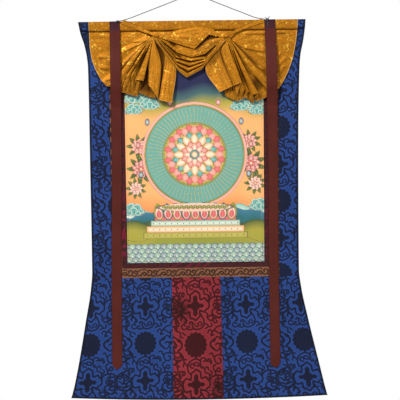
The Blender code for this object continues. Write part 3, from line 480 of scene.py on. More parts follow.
def wave(x, drop):
    """How far the hanging cloth stands forward of its flat plane."""
    body = ramp(drop, 135, 420) * (0.5 + 0.5 * np.sin(x / 61 + drop / 240))
    foot = ramp(drop, 850, 1200) * (0.5 + 0.5 * np.cos(x / 78 + 1.1))
    return BODY_WAVE * body + FOOT_WAVE * foot


def edge_x(side, drop):
    table = np.array([(row[0], row[1 if side == "left" else 2]) for row in OUTLINE])
    drop = np.asarray(drop, float)
    return smooth_through(table[:, 0], table[:, 1:], drop.ravel())[:, 0].reshape(drop.shape)


def foot_edge(x):
    return FOOT_MIDDLE - FOOT_RISE * (x / FOOT_HALF_WIDTH) ** 2


def rolled(reach, radius):
    """The rise of a turned edge: 0 at the edge, 1 from `radius` inwards."""
    inward = 1 - np.clip(reach / radius, 0.0, 1.0)
    return np.sqrt(np.clip(1 - inward * inward, 0.0, 1.0))


def thickness(x, drop):
    """The mount is thick at its top and foot hems, whose edges are rounded."""
    top = rolled(np.minimum(drop - TOP_EDGE, TOP_HEM_END - drop), 4.0)
    top = np.where(drop < TOP_EDGE + 4, 0.45 + 0.55 * top, top)
    above_foot = foot_edge(x) - BINDING_WIDTH - drop
    foot = rolled(FOOT_HEM_HEIGHT - above_foot, 6.0) * (0.55 + 0.45 * rolled(above_foot, 5.0))
    return CLOTH + (TOP_HEM - CLOTH) * top + (FOOT_HEM - CLOTH) * foot


def between(pair, start, end, by=0.0):
    """A straight edge from pair[0] at `start` to pair[1] at `end`, moved across by `by`."""
    return lambda drop: pair[0] + (pair[1] - pair[0]) * (drop - start) / (end - start) + by


def outer(side, inset):
    """A side of the mount, moved inwards by `inset`."""
    return lambda drop: edge_x(side, drop) + (inset if side == "left" else -inset)


def picture_edge(side, reach=0.0):
    """A side of the painting, moved outwards by `reach`."""
    pair, by = (PAINTING_LEFT, -reach) if side == "left" else (PAINTING_RIGHT, reach)
    return between(pair, PAINTING_TOP, PAINTING_FOOT, by)


def door_edge(side):
    return between(DOOR_LEFT if side == "left" else DOOR_RIGHT, SEAM_DROP, FOOT_MIDDLE)


def even_steps(start, end, pitch, multiple):
    """Values from start to end, about `pitch` apart, in a multiple of `multiple` steps."""
    count = max(1, round(abs(end - start) / (pitch * multiple))) * multiple
    return np.linspace(start, end, count + 1)


def units(vectors):
    return vectors / np.maximum(np.linalg.norm(vectors, axis=-1, keepdims=True), 1e-9)


def add_mesh(name, points, faces, values):
    """A smooth object whose faces look outwards, with an attribute for each array of `values`."""
    mesh = bpy.data.meshes.new(name)
    mesh.from_pydata(points.tolist(), [], faces)
    mesh.update()
    for key, value in values.items():
        kind, field = ATTRIBUTE_KINDS[1 if value.ndim == 1 else value.shape[1]]
        layer = mesh.attributes.new(key, kind, "POINT")
        layer.data.foreach_set(field, value.astype(np.float32).ravel())
    mesh.shade_smooth()
    if signed_volume(mesh) < 0:
        mesh.flip_normals()
    made = bpy.data.objects.new(name, mesh)
    bpy.context.scene.collection.objects.link(made)
    return made


def closed_sheet(name, front, back, coarse, masks):
    """One closed body between a front grid of points and a back grid with every `coarse`th point.

    `masks` are named arrays of numbers or vectors for the front points. The back takes the values
    of the front points that it lies behind, and "face" is 1 in front and 0 behind.
    """
    rows, columns = front.shape[:2]
    far = back[::coarse, ::coarse]
    far_rows, far_columns = far.shape[:2]
    near_ids = np.arange(rows * columns).reshape(rows, columns)
    far_ids = rows * columns + np.arange(far_rows * far_columns).reshape(far_rows, far_columns)

    def cells(ids, order):
        corners = {"a": ids[:-1, :-1], "b": ids[1:, :-1], "c": ids[1:, 1:], "d": ids[:-1, 1:]}
        return np.stack([corners[key].ravel() for key in order], axis=1).tolist()

    faces = cells(near_ids, "abcd") + cells(far_ids, "adcb")
    sides = ((near_ids[:, 0], far_ids[:, 0]), (near_ids[-1], far_ids[-1]),
             (near_ids[::-1, -1], far_ids[::-1, -1]), (near_ids[0, ::-1], far_ids[0, ::-1]))
    for near_line, far_line in sides:
        for step in range(len(far_line) - 1):
            fine = near_line[step * coarse:(step + 1) * coarse + 1]
            faces.append([*fine[::-1].tolist(), int(far_line[step]), int(far_line[step + 1])])
    values = {"face": np.concatenate([np.ones(rows * columns), np.zeros(far_rows * far_columns)])}
    for key, value in masks.items():
        width = value.shape[2:]
        values[key] = np.concatenate([value.reshape(-1, *width),
                                      value[::coarse, ::coarse].reshape(-1, *width)])
    points = np.concatenate([front.reshape(-1, 3), far.reshape(-1, 3)])
    made = add_mesh(name, points, faces, values)
    made.data.set_sharp_from_angle(angle=math.radians(50))
    return made


def signed_volume(mesh):
    mesh.calc_loop_triangles()
    corners = np.empty(len(mesh.loop_triangles) * 3, np.int64)
    mesh.loop_triangles.foreach_get("vertices", corners)
    points = np.empty(len(mesh.vertices) * 3)
    mesh.vertices.foreach_get("co", points)
    a, b, c = points.reshape(-1, 3)[corners.reshape(-1, 3)].transpose(1, 0, 2)
    return float((a * np.cross(b, c)).sum() / 6)


def offset_surfaces(middle, half):
    """The two faces of a cloth of even thickness round its middle surface."""
    normal = units(np.cross(np.gradient(middle, axis=1), np.gradient(middle, axis=0)))
    return middle + normal * half, middle - normal * half


def fit_piece(piece, node):
    """Puts a piece in its node's place, on the scroll's one body."""
    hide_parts(node)
    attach(piece, "root")


def finish_cloth(piece, node, material):
    """Gives a cloth its material and its place in the frame."""
    piece.data.materials.append(material)
    fit_piece(piece, node)


# ---- pattern charts ----
def curve_through(points, steps=6):
    """A smooth line through charted points, in `steps` steps from each to the next."""
    points = np.array(points, float)
    ahead = np.vstack([2 * points[0] - points[1], points, 2 * points[-1] - points[-2]])
    tangent = (ahead[2:] - ahead[:-2]) / 2
    t = np.linspace(0, 1, steps, endpoint=False)[:, None]
    runs = [(1 + 2 * t) * (1 - t) ** 2 * points[k] + t * (1 - t) ** 2 * tangent[k]
            + t * t * (3 - 2 * t) * points[k + 1] - t * t * (1 - t) * tangent[k + 1]
            for k in range(len(points) - 1)]
    return np.vstack([*runs, points[-1:]])


def chart_grid(repeat, step):
    across = np.arange(0, repeat[0] - step / 2, step)
    down = np.arange(0, repeat[1] - step / 2, step)
    return np.meshgrid(across, down)


def wrapped(value, span):
    return (value + span / 2) % span - span / 2


def add_lines(depth, lines, x, drop, repeat):
    """Raises the chart's depth, in mm inside a motif, by smooth strokes that repeat."""
    for half, points in lines:
        line = curve_through(points)
        for start, end in zip(line[:-1], line[1:]):
            way = end - start
            long = float(way @ way)
            from_x = wrapped(x - start[0], repeat[0])
            from_drop = wrapped(drop - start[1], repeat[1])
            share = np.clip((from_x * way[0] + from_drop * way[1]) / max(long, 1e-9), 0, 1)
            away = np.hypot(from_x - share * way[0], from_drop - share * way[1])
            np.maximum(depth, half - away, out=depth)
    return depth


@cache
def line_chart(lines, repeat, step=0.5):
    x, drop = chart_grid(repeat, step)
    return add_lines(np.full(x.shape, OUTSIDE), lines, x, drop, repeat)


@cache
def brocade_chart():
    """The mount's brocade: scrolls, a stepped cross and a round flower of two rings of petals."""
    x, drop = chart_grid(BROCADE_REPEAT, 1.0)
    depth = line_chart(BROCADE_LINES, BROCADE_REPEAT, 1.0)
    near_x, near_drop = wrapped(x, BROCADE_REPEAT[0]), wrapped(drop, BROCADE_REPEAT[1])
    for half_x, half_drop in CROSS_BARS:
        bar = np.minimum(half_x - np.abs(near_x), half_drop - np.abs(near_drop))
        depth = np.maximum(depth, bar)
    for tip_x, tip_drop, reach in CROSS_TIPS:
        away = np.abs(np.abs(near_x) - tip_x) + np.abs(np.abs(near_drop) - tip_drop)
        depth = np.maximum(depth, (reach - away) * 0.7)
    centre_x, centre_drop, half_x, half_drop, petals = ROUND_FLOWER
    from_x = wrapped(x - centre_x, BROCADE_REPEAT[0]) / half_x
    from_drop = wrapped(drop - centre_drop, BROCADE_REPEAT[1]) / half_drop
    reach, turn = np.hypot(from_x, from_drop), np.arctan2(from_drop, from_x)
    lobe = np.abs(np.cos(petals * turn))
    flower = (0.83 + 0.18 * lobe ** 0.55 - reach) * half_x
    spoke = lobe * reach * half_x / petals * 1.6
    ring = np.abs(np.abs(reach - 0.42) - 0.2) * half_x
    inside = np.where(reach > 0.2, np.minimum(spoke, ring), 4.0)
    return np.maximum(depth, np.minimum(flower, 0.7 + np.minimum(inside, 5.0)))


def read_chart(chart, repeat, across, down):
    """The chart's depth at places on the cloth, between its points and from repeat to repeat."""
    rows, columns = chart.shape
    column = across / repeat[0] * columns
    row = down / repeat[1] * rows
    left, top = np.floor(column).astype(int), np.floor(row).astype(int)
    part_x, part_y = column - left, row - top
    picked = [[chart[(top + i) % rows, (left + j) % columns] for j in (0, 1)] for i in (0, 1)]
    upper = picked[0][0] * (1 - part_x) + picked[0][1] * part_x
    lower = picked[1][0] * (1 - part_x) + picked[1][1] * part_x
    return upper * (1 - part_y) + lower * part_y


# ---- materials ----
# The colour that a ribbon darkens towards over its top.
RIBBON_TOP_TONE = (0.036, 0.011, 0.020)
VEIL_HEM = (0.62, 0.40, 0.13)
# Colour of the painted shade in the veil's folds, pockets and gaps, and at its ties' edges.
VEIL_SHADE_COLOUR = (0.040, 0.012, 0.001)
INK = (0.045, 0.035, 0.05)
GOLD_PAINT = (0.72, 0.46, 0.14)
BARE_CANVAS = (0.42, 0.34, 0.25)


def set_inputs(tree, node, inputs):
    """Links the inputs that are given sockets, and sets the others to their values."""
    for key, value in inputs.items():
        if isinstance(value, bpy.types.NodeSocket):
            tree.links.new(value, node.inputs[key])
        else:
            node.inputs[key].default_value = value


def add_node(tree, kind, inputs=None, **settings):
    made = tree.nodes.new(kind)
    for key, value in settings.items():
        setattr(made, key, value)
    set_inputs(tree, made, inputs or {})
    return made


def maths(tree, operation, first, second=0.0, third=0.0, clamp=False):
    inputs = {0: first, 1: second, 2: third}
    return add_node(tree, "ShaderNodeMath", inputs, operation=operation, use_clamp=clamp).outputs[0]


def blend_colours(tree, share, first, second):
    made = add_node(tree, "ShaderNodeMix", {0: share, 6: first, 7: second}, data_type="RGBA",
                    clamp_factor=True)
    return made.outputs[2]


def new_group(name, inputs, outputs):
    """An empty shader group with named sockets, its input node and its output node."""
    tree = bpy.data.node_groups.new(name, "ShaderNodeTree")
    for socket, kind, value in inputs:
        made = tree.interface.new_socket(socket, in_out="INPUT", socket_type=kind)
        if value is not None:
            made.default_value = value
    for socket, kind in outputs:
        tree.interface.new_socket(socket, in_out="OUTPUT", socket_type=kind)
    start = tree.nodes.new("NodeGroupInput")
    end = tree.nodes.new("NodeGroupOutput")
    return tree, start, end


def weave_group():
    """Warp and weft in millimetres of cloth, with a little slub."""
    tree, start, end = new_group(
        "Plain weave",
        [("Cloth place", "NodeSocketVector", None), ("Warp pitch", "NodeSocketFloat", 0.8),
         ("Weft pitch", "NodeSocketFloat", 0.8), ("Slub", "NodeSocketFloat", 0.4)],
        [("Height", "NodeSocketFloat"), ("Tone", "NodeSocketFloat")])
    cloth = start.outputs["Cloth place"]
    split = add_node(tree, "ShaderNodeSeparateXYZ", {0: cloth})
    threads = []
    for axis, pitch in ((0, "Warp pitch"), (1, "Weft pitch")):
        turns = maths(tree, "DIVIDE", split.outputs[axis], start.outputs[pitch])
        turned = maths(tree, "SINE", maths(tree, "MULTIPLY", turns, 2 * math.pi))
        threads.append(maths(tree, "MULTIPLY_ADD", turned, 0.5, 0.5))
    stretched = add_node(tree, "ShaderNodeVectorMath", {0: cloth, 1: (0.05, 0.9, 0.9)},
                         operation="MULTIPLY")
    slub = noise(tree, stretched.outputs[0], 1.0, 2.0)
    both = maths(tree, "MAXIMUM", *threads)
    swing = maths(tree, "MULTIPLY", maths(tree, "SUBTRACT", slub, 0.5), start.outputs["Slub"])
    raised = maths(tree, "MULTIPLY_ADD", both, 0.3, 0.35)
    set_inputs(tree, end, {"Height": maths(tree, "ADD", both, swing),
                           "Tone": maths(tree, "ADD", raised, swing, 0.0, True)})


def patch_group():
    """Slow changes of tone over a cloth, and its soft handling creases."""
    tree, start, end = new_group(
        "Handled cloth",
        [("Place", "NodeSocketVector", None), ("Patch scale", "NodeSocketFloat", 9.0),
         ("Crease scale", "NodeSocketFloat", 26.0)],
        [("Tone", "NodeSocketFloat"), ("Crease", "NodeSocketFloat")])
    given = start.outputs
    creases = noise(tree, given["Place"], given["Crease scale"], 2.0, Distortion=0.6)
    ridge = maths(tree, "ABSOLUTE", maths(tree, "SUBTRACT", creases, 0.5))
    set_inputs(tree, end, {"Tone": noise(tree, given["Place"], given["Patch scale"], 3.0),
                           "Crease": maths(tree, "MULTIPLY", ridge, 2.0)})


def thread_line_group():
    """A sewn line: short threads along a line at a distance, with the cloth drawn in at each."""
    tree, start, end = new_group(
        "Sewn line",
        [("Distance", "NodeSocketFloat", 9.0), ("Along", "NodeSocketFloat", 0.0),
         ("Stitch", "NodeSocketFloat", 4.0), ("Half width", "NodeSocketFloat", 0.6)],
        [("Thread", "NodeSocketFloat"), ("Groove", "NodeSocketFloat")])
    away = maths(tree, "ABSOLUTE", start.outputs["Distance"])
    turns = maths(tree, "DIVIDE", start.outputs["Along"], start.outputs["Stitch"])
    part = maths(tree, "FRACT", turns)
    from_middle = maths(tree, "ABSOLUTE", maths(tree, "SUBTRACT", part, 0.5))
    dash = maths(tree, "LESS_THAN", from_middle, 0.33)
    near = maths(tree, "LESS_THAN", away, start.outputs["Half width"])
    set_inputs(tree, end, {"Thread": maths(tree, "MULTIPLY", dash, near),
                           "Groove": span(tree, away, 0.0, 3.0, 1.0, 0.0)})


def group_node(tree, name, inputs):
    return add_node(tree, "ShaderNodeGroup", inputs, node_tree=bpy.data.node_groups[name]).outputs


def attribute(tree, name, output="Fac"):
    return add_node(tree, "ShaderNodeAttribute", attribute_name=name).outputs[output]


def span(tree, value, low, high, to_low=0.0, to_high=1.0):
    """A value taken from one range to another and held at its ends."""
    return add_node(tree, "ShaderNodeMapRange", {
        "Value": value, "From Min": low, "From Max": high, "To Min": to_low, "To Max": to_high,
    }).outputs[0]


def noise(tree, vector, scale, detail, **more):
    inputs = {"Vector": vector, "Scale": scale, "Detail": detail, **more}
    return add_node(tree, "ShaderNodeTexNoise", inputs).outputs["Fac"]


def object_places(tree):
    return add_node(tree, "ShaderNodeTexCoord").outputs["Object"]


def shaded(tree, colour, *tones):
    """A colour scaled by tones, each a socket or (socket, factor, what is added to it)."""
    product = None
    for tone in tones:
        tone = maths(tree, "MULTIPLY_ADD", *tone) if isinstance(tone, tuple) else tone
        product = tone if product is None else maths(tree, "MULTIPLY", product, tone)
    return add_node(tree, "ShaderNodeVectorMath", {0: colour, "Scale": product},
                    operation="SCALE").outputs[0]


def new_material(name):
    made = bpy.data.materials.new(name)
    made.use_nodes = True
    tree = made.node_tree
    return made, tree, tree.nodes["Principled BSDF"]


def cloth_material(name, warp, weft, slub, **handling):
    """A new material, its tree and shader, and the outputs of its weave and of its handling."""
    made, tree, shader = new_material(name)
    weave = group_node(tree, "Plain weave", {"Cloth place": attribute(tree, "cloth", "Vector"),
                                             "Warp pitch": warp, "Weft pitch": weft, "Slub": slub})
    scales = {key.replace("_", " ").capitalize(): value for key, value in handling.items()}
    handled = group_node(tree, "Handled cloth", {"Place": object_places(tree), **scales})
    return made, tree, shader, weave, handled


def rgba(colour):
    return (*colour, 1.0)


def tinted(colour, by):
    return tuple(min(1.0, part * by) for part in colour) + (1.0,)


def soft_mask(tree, soft=0.6):
    """1 inside the woven motif, 0 outside it, with an edge of soft thread."""
    return span(tree, attribute(tree, "motif"), -soft, soft)


def bump(tree, shader, *heights):
    """Bumps one over the other: (height socket, distance in metres, strength)."""
    normal = None
    for height, distance, strength in heights:
        inputs = {"Height": height, "Distance": distance, "Strength": strength}
        if normal is not None:
            inputs["Normal"] = normal
        normal = add_node(tree, "ShaderNodeBump", inputs).outputs[0]
    tree.links.new(normal, shader.inputs["Normal"])


def brocade_material(name, ground, motif, back, relief=0.35, tint_and_painted_shade=(0.006, 0.009, 0.016)):
    """Satin ground with a woven motif, plain and paler behind."""
    made, tree, shader, weave, handled = cloth_material(name, 0.9, 1.3, 0.5)
    depth, mask = attribute(tree, "motif"), soft_mask(tree)
    figure = blend_colours(tree, span(tree, depth, 0.8, 2.2, 0.12, 0.0), rgba(motif), rgba(ground))
    # The ground is lighter in a ring just outside the motif.
    ringed_ground = blend_colours(tree, span(tree, depth, -3.2, -0.8), rgba(ground), tinted(ground, 1.25))
    woven = blend_colours(tree, mask, ringed_ground, figure)
    slub = blend_colours(tree, maths(tree, "MULTIPLY", weave["Tone"], 0.06), woven,
                         tinted(ground, 1.35))
    front = shaded(tree, slub, (handled["Tone"], 0.5, 0.75), (weave["Tone"], 0.5, 0.75))
    # One mask blends in painted shade under the top hem and along seams, the door's darker patches,
    # the wide border's dark outer edge and the narrow border's red figures.
    front = blend_colours(tree, attribute(tree, "tint_and_painted_shade"), front, rgba(tint_and_painted_shade))
    cloth = add_node(tree, "ShaderNodeSeparateXYZ", {0: attribute(tree, "cloth", "Vector")})
    sewn = group_node(tree, "Sewn line", {"Distance": attribute(tree, "seam"),
                                          "Along": cloth.outputs[0]})
    # Painted shade in the groove that the sewn line draws in, then its darker threads.
    front = blend_colours(tree, maths(tree, "MULTIPLY", sewn["Groove"], 0.5), front,
                          tinted(motif, 0.5))
    front = blend_colours(tree, sewn["Thread"], front, tinted(motif, 0.8))
    set_inputs(tree, shader, {
        "Base Color": blend_colours(tree, attribute(tree, "face"), rgba(back), front),
        "Roughness": span(tree, mask, 0.0, 1.0, 0.42, 0.6),
        "Metallic": 0.12, "Specular IOR Level": 0.06})
    bump(tree, shader, (weave["Height"], 0.0002, 0.35), (mask, 0.0003, relief),
         (handled["Crease"], 0.0012, 0.12), (sewn["Groove"], -0.0006, 0.5))
    return made


def plain_cloth_material(name, colour, pitch, roughness, edge=None):
    """A plain woven strip, with darker selvedges where it has an `edge` attribute."""
    made, tree, shader, weave, handled = cloth_material(name, *pitch, 0.6, patch_scale=14.0)
    result = shaded(tree, colour, (handled["Tone"], 0.45, 0.78), (weave["Tone"], 0.4, 0.8))
    heights = [(weave["Height"], 0.00025, 0.45), (handled["Crease"], 0.001, 0.15)]
    if edge is not None:
        selvedge = span(tree, attribute(tree, "edge"), 0.6, 2.2, 0.7, 0.0)
        result = blend_colours(tree, selvedge, result, rgba(edge))
        heights.append((selvedge, 0.0003, 0.4))
        # The ribbon is darker over its top.
        result = blend_colours(tree, attribute(tree, "tint_and_painted_shade"), result, rgba(RIBBON_TOP_TONE))
    set_inputs(tree, shader, {"Base Color": result, "Roughness": roughness,
                              "Specular IOR Level": 0.08})
    bump(tree, shader, *heights)
    return made


def veil_material(ground, curl):
    """Soft silk with lighter woven curls, paler and raised along its hems."""
    made, tree, shader, weave, handled = cloth_material("Gold veil silk", 0.7, 0.7, 0.7,
                                                        patch_scale=16.0, crease_scale=44.0)
    mask = soft_mask(tree, 0.7)
    mottle = noise(tree, attribute(tree, "cloth", "Vector"), 0.13, 3.0, Roughness=0.65)
    streaks = noise(tree, attribute(tree, "pulled", "Vector"), 1.0, 2.0)
    pulled = maths(tree, "MULTIPLY", maths(tree, "SUBTRACT", streaks, 0.5),
                   attribute(tree, "streaks"))
    # The streaks along the pleats' faces are painted light and shade of their crumples, over a bump
    # that gives them relief.
    silk = shaded(tree, ground, (handled["Tone"], 0.5, 0.75), (pulled, 1.1, 1.0),
                  (weave["Tone"], 0.5, 0.75), span(tree, mottle, 0.34, 0.66, 0.72, 1.26))
    silk = blend_colours(tree, maths(tree, "MULTIPLY", mask, 0.95), silk, rgba(curl))
    hem = span(tree, attribute(tree, "hem"), 1.2, 2.4, 0.75, 0.0)
    silk = blend_colours(tree, hem, silk, rgba(VEIL_HEM))
    # Painted shade in the folds' hollows, the pockets and gaps, under the creases and at the ties'
    # edges.
    veil_painted_shade = maths(tree, "MULTIPLY", attribute(tree, "veil_painted_shade"), 0.88, 0.0, True)
    set_inputs(tree, shader, {
        "Base Color": blend_colours(tree, veil_painted_shade, silk, rgba(VEIL_SHADE_COLOUR)),
        "Roughness": span(tree, mask, 0.0, 1.0, 0.46, 0.36),
        "Metallic": 0.35, "Specular IOR Level": 0.08})
    bump(tree, shader, (weave["Height"], 0.0002, 0.3), (mask, 0.0002, 0.3),
         (handled["Crease"], 0.0016, 0.28), (pulled, 0.008, 0.5), (hem, 0.0004, 0.6))
    return made


def painting_material():
    """Matte mineral paint on primed cloth, with drawn ink lines and gold ones."""
    made, tree, shader, weave, handled = cloth_material("Painted canvas", 0.6, 0.6, 0.4,
                                                        patch_scale=22.0)
    paint = shaded(tree, attribute(tree, "paint", "Color"), (handled["Tone"], 0.16, 0.92))
    ink = span(tree, attribute(tree, "ink"), 0.35, 1.0, 0.8, 0.0)
    gold = span(tree, attribute(tree, "gold"), 0.3, 0.9, 0.9, 0.0)
    lined = blend_colours(tree, ink, paint, rgba(INK))
    gilt = blend_colours(tree, gold, lined, rgba(GOLD_PAINT))
    set_inputs(tree, shader, {
        "Base Color": blend_colours(tree, attribute(tree, "face"), rgba(BARE_CANVAS), gilt),
        "Metallic": maths(tree, "MULTIPLY", gold, 0.55),
        "Roughness": span(tree, gold, 0.0, 1.0, 0.78, 0.42), "Specular IOR Level": 0.25})
    bump(tree, shader, (weave["Height"], 0.00015, 0.25), (ink, 0.0001, 0.2),
         (handled["Crease"], 0.0008, 0.1))
    return made


def cord_material(colour):
    """Twisted cord: painted shade darkens the strands' grooves, with fine fibres along them."""
    made, tree, shader = new_material("Twisted grey cord")
    fibres = noise(tree, attribute(tree, "cloth", "Vector"), 2.2, 3.0)
    strands = shaded(tree, colour, (fibres, 0.7, 0.65), (attribute(tree, "groove"), 0.75, 0.25))
    set_inputs(tree, shader, {"Base Color": strands, "Roughness": 0.75, "Sheen Weight": 0.2,
                              "Specular IOR Level": 0.25})
    bump(tree, shader, (fibres, 0.0002, 0.5))
    return made


def floor_material():
    made, tree, shader = new_material("Pale studio floor")
    grain = noise(tree, object_places(tree), 60.0, 4.0)
    set_inputs(tree, shader, {"Base Color": span(tree, grain, 0.0, 1.0, 0.78, 0.84),
                              "Roughness": 0.85})
    return made


# ---- the painted picture: a lotus wheel over hills and water, of this part's own design ----
PAINTS = {  # sRGB, 0 to 255
    "night": (38, 40, 74), "dusk": (72, 104, 104), "peach": (246, 178, 112), "glow": (250, 150, 88),
    "sun": (196, 184, 92), "olive": (150, 150, 62), "teal": (112, 168, 152),
    "deep teal": (52, 108, 110),
    "turquoise": (120, 190, 176), "pale": (226, 232, 208), "cream": (246, 226, 196),
    "pink": (232, 122, 118), "rose": (212, 74, 88), "blush": (248, 176, 158),
    "leaf": (104, 132, 62),
    "dark leaf": (56, 84, 52), "hill": (64, 82, 60), "grass": (168, 158, 64),
    "lake": (70, 124, 150),
    "lapis": (44, 72, 122), "amber": (240, 160, 72),
}
WHEEL = (-5.0, 478.0)
WHEEL_RINGS = (  # outer radius, paint, gold rays
    (158.0, "blush", 0), (150.0, "olive", 0), (146.0, "teal", 72), (96.0, "olive", 0),
    (91.0, "sun", 0),
)
WHEEL_PETALS = (  # count, turn, root radius, tip radius, half width, paint, inner paint
    (16, 0.5, 70.0, 92.0, 11.5, "rose", "pink"), (16, 0.0, 62.0, 88.0, 11.0, "pink", "blush"),
    (12, 0.5, 38.0, 70.0, 12.5, "deep teal", "turquoise"),
    (12, 0.0, 32.0, 64.0, 11.5, "amber", "cream"),
    (8, 0.5, 16.0, 42.0, 11.0, "rose", "blush"), (8, 0.0, 10.0, 34.0, 9.0, "pink", "cream"),
)
JEWELS = (  # angle, radius, half width, half height, paint
    (35, 172, 7, 10, "lapis"), (65, 172, 7, 9, "rose"), (115, 172, 7, 9, "rose"),
    (145, 172, 7, 10, "lapis"), (10, 172, 6, 9, "rose"), (170, 172, 6, 9, "rose"),
    (-20, 172, 7, 9, "lapis"), (200, 172, 7, 9, "lapis"),
)
CLOUDS = (  # x, drop, size, turned
    (-176.0, 300.0, 1.0, 1), (-138.0, 322.0, 0.85, 1), (-186.0, 338.0, 0.75, 1),
    (168.0, 312.0, 1.0, -1), (132.0, 330.0, 0.8, -1), (184.0, 344.0, 0.7, -1),
    (-190.0, 640.0, 0.9, 1), (186.0, 628.0, 0.85, -1),
)
# A cloud's wisps: drop, length, half width, inner paint.
CLOUD_TAILS = ((10, 46, 4.6, "turquoise"), (16, 36, 4.0, "deep teal"))
CLOUD_LOBES = (  # x, drop, radius
    (-20, 4, 13), (20, 6, 12), (-8, -6, 15), (10, -4, 14), (0, 8, 15), (-14, 12, 10), (14, 13, 9),
)
PEONIES = (  # x, drop, size, paint
    (-172.0, 452.0, 0.95, "pink"), (-166.0, 520.0, 1.1, "rose"), (-182.0, 578.0, 0.8, "blush"),
    (160.0, 440.0, 0.9, "pink"), (164.0, 506.0, 1.15, "rose"), (176.0, 566.0, 0.85, "blush"),
)
LEAF_TURNS = (20, 62, 98, 140, 182, 224, 262, 306, 340)
TERRACE_STEPS = (  # drop, half width, half height, paint, inner paint
    (664, 122, 11, "rose", "pink"), (684, 134, 9, "teal", "pale"),
    (702, 146, 10, "amber", "cream"), (720, 156, 9, "olive", "sun"),
)
TERRACE_PETALS = 9


def linear(paint):
    part = np.array(PAINTS[paint], float) / 255
    return np.where(part <= 0.04045, part / 12.92, ((part + 0.055) / 1.055) ** 2.4)


class Picture:
    """Paint, ink lines and gold lines at the canvas's points, laid one over the other."""

    def __init__(self, x, drop):
        self.x, self.drop = x, drop
        self.paint = np.ones((*x.shape, 3)) * linear("peach")
        self.ink = np.full(x.shape, FAR)
        self.gold = np.full(x.shape, FAR)

    def lay(self, depth, paint, inner=None, fade=8.0, outlined=True):
        """Paints where depth, in mm, is positive, and draws the outline where it is nought."""
        cover = np.clip(depth / 0.9 + 0.5, 0, 1)[..., None]
        colour = linear(paint)
        if inner is not None:
            share = np.clip(depth / fade, 0, 1)[..., None] ** 0.8
            colour = colour + (linear(inner) - colour) * share
        self.paint += (colour - self.paint) * cover
        edge = np.abs(depth) if outlined else np.where(depth > 0, FAR, self.ink)
        self.ink = np.where(depth > 0, edge, np.minimum(self.ink, edge) if outlined else self.ink)
        self.gold = np.where(depth > 0, FAR, self.gold)

    def draw(self, away, where=None, gold=False):
        """Draws a line where `away`, the distance to it, is small."""
        key = "gold" if gold else "ink"
        away = away if where is None else np.where(where, away, FAR)
        setattr(self, key, np.minimum(getattr(self, key), away))

    def disc(self, x, drop, half_x, half_drop):
        reach = np.hypot((self.x - x) / half_x, (self.drop - drop) / half_drop)
        return (1 - reach) * min(half_x, half_drop)

    def petal(self, x, drop, turn, root, tip, half):
        """Depth in a petal that points from (x, drop) at `turn` degrees, clockwise from right."""
        angle = math.radians(turn)
        ahead = (self.x - x) * math.cos(angle) + (self.drop - drop) * math.sin(angle)
        aside = -(self.x - x) * math.sin(angle) + (self.drop - drop) * math.cos(angle)
        share = np.clip((ahead - root) / (tip - root), 0, 1)
        width = half * np.sin(math.pi * share ** 0.8) ** 0.75
        return np.minimum(width - np.abs(aside), np.minimum(ahead - root, tip - ahead) + 1.2)


def paint_ground(picture):
    x, drop = picture.x, picture.drop
    height = drop + 9 * np.sin(x / 46) + 4 * np.sin(x / 17 + 1)
    stops = (PAINTING_TOP, 268, 300, 330, 372, 470, 590, 640)
    names = ("night", "night", "dusk", "grass", "peach", "peach", "peach", "glow")
    table = np.array([linear(name) for name in names])
    for part in range(3):
        picture.paint[..., part] = np.interp(height, stops, table[:, part])
    lakes = ((640, "turquoise", "pale"), (652, "lake", "deep teal"))
    for row, (level, paint, inner) in enumerate(lakes):
        ridge = level + 11 * np.sin(x / (30 + 7 * row) + row) + 5 * np.sin(x / 11 + row)
        picture.lay(drop - ridge, paint, inner, 26)
    for row, (level, bow, paint, inner) in enumerate(
            ((668, 26, "hill", "leaf"), (694, -16, "dark leaf", "grass"),
             (716, 20, "grass", "olive"))):
        ridge = level - bow * np.cos((x + 5) / 66) + 5 * np.sin(x / 19 + 2 * row)
        picture.lay(drop - ridge, paint, inner, 30)


def paint_waves(picture):
    """Rows of overlapping scale waves along the foot of the picture."""
    for row in range(5):
        level = 748.0 + 13 * row
        for step in range(-12, 13):
            centre = WHEEL[0] + step * 19.0 + (row % 2) * 9.5
            shell = picture.disc(centre, level + 8, 11.5, 11.5)
            picture.lay(shell, "lake" if (step + row) % 2 else "teal", "pale", 14)
            picture.draw(np.abs(shell - 3.6), shell > 0, gold=True)
            picture.draw(np.abs(shell - 7.0), shell > 0)


def paint_cloud(picture, x, drop, size, turned):
    """A cloud of pale-rimmed curls, with wisps that trail to one side."""
    for tail_drop, long, half, inner in CLOUD_TAILS:
        for turn in (4, 176):
            tail = picture.petal(x - 6 * turned * size, drop + tail_drop * size, turn, 6 * size,
                                 long * size, half * size)
            picture.lay(tail, "pale", inner, 5 * size)
    for lobe_x, lobe_drop, radius in CLOUD_LOBES:
        away_x = (picture.x - x) * turned - lobe_x * size
        away_drop = picture.drop - drop - lobe_drop * size
        reach, turn = np.hypot(away_x / 1.15, away_drop), np.arctan2(away_drop, away_x)
        depth = radius * size - reach + 0.9 * size * np.sin(3 * turn + lobe_x)
        picture.lay(depth, "pale", "turquoise", 6 * size)
        curl = 1.7 * size * (1 - reach / (radius * size)) + 0.8 * size
        curl -= np.abs(wrapped(reach - turn * 1.05 * size - 2.5, 6.6 * size))
        picture.lay(np.minimum(curl, depth - 2.4 * size), "turquoise", "deep teal", 1.6 * size,
                    outlined=False)


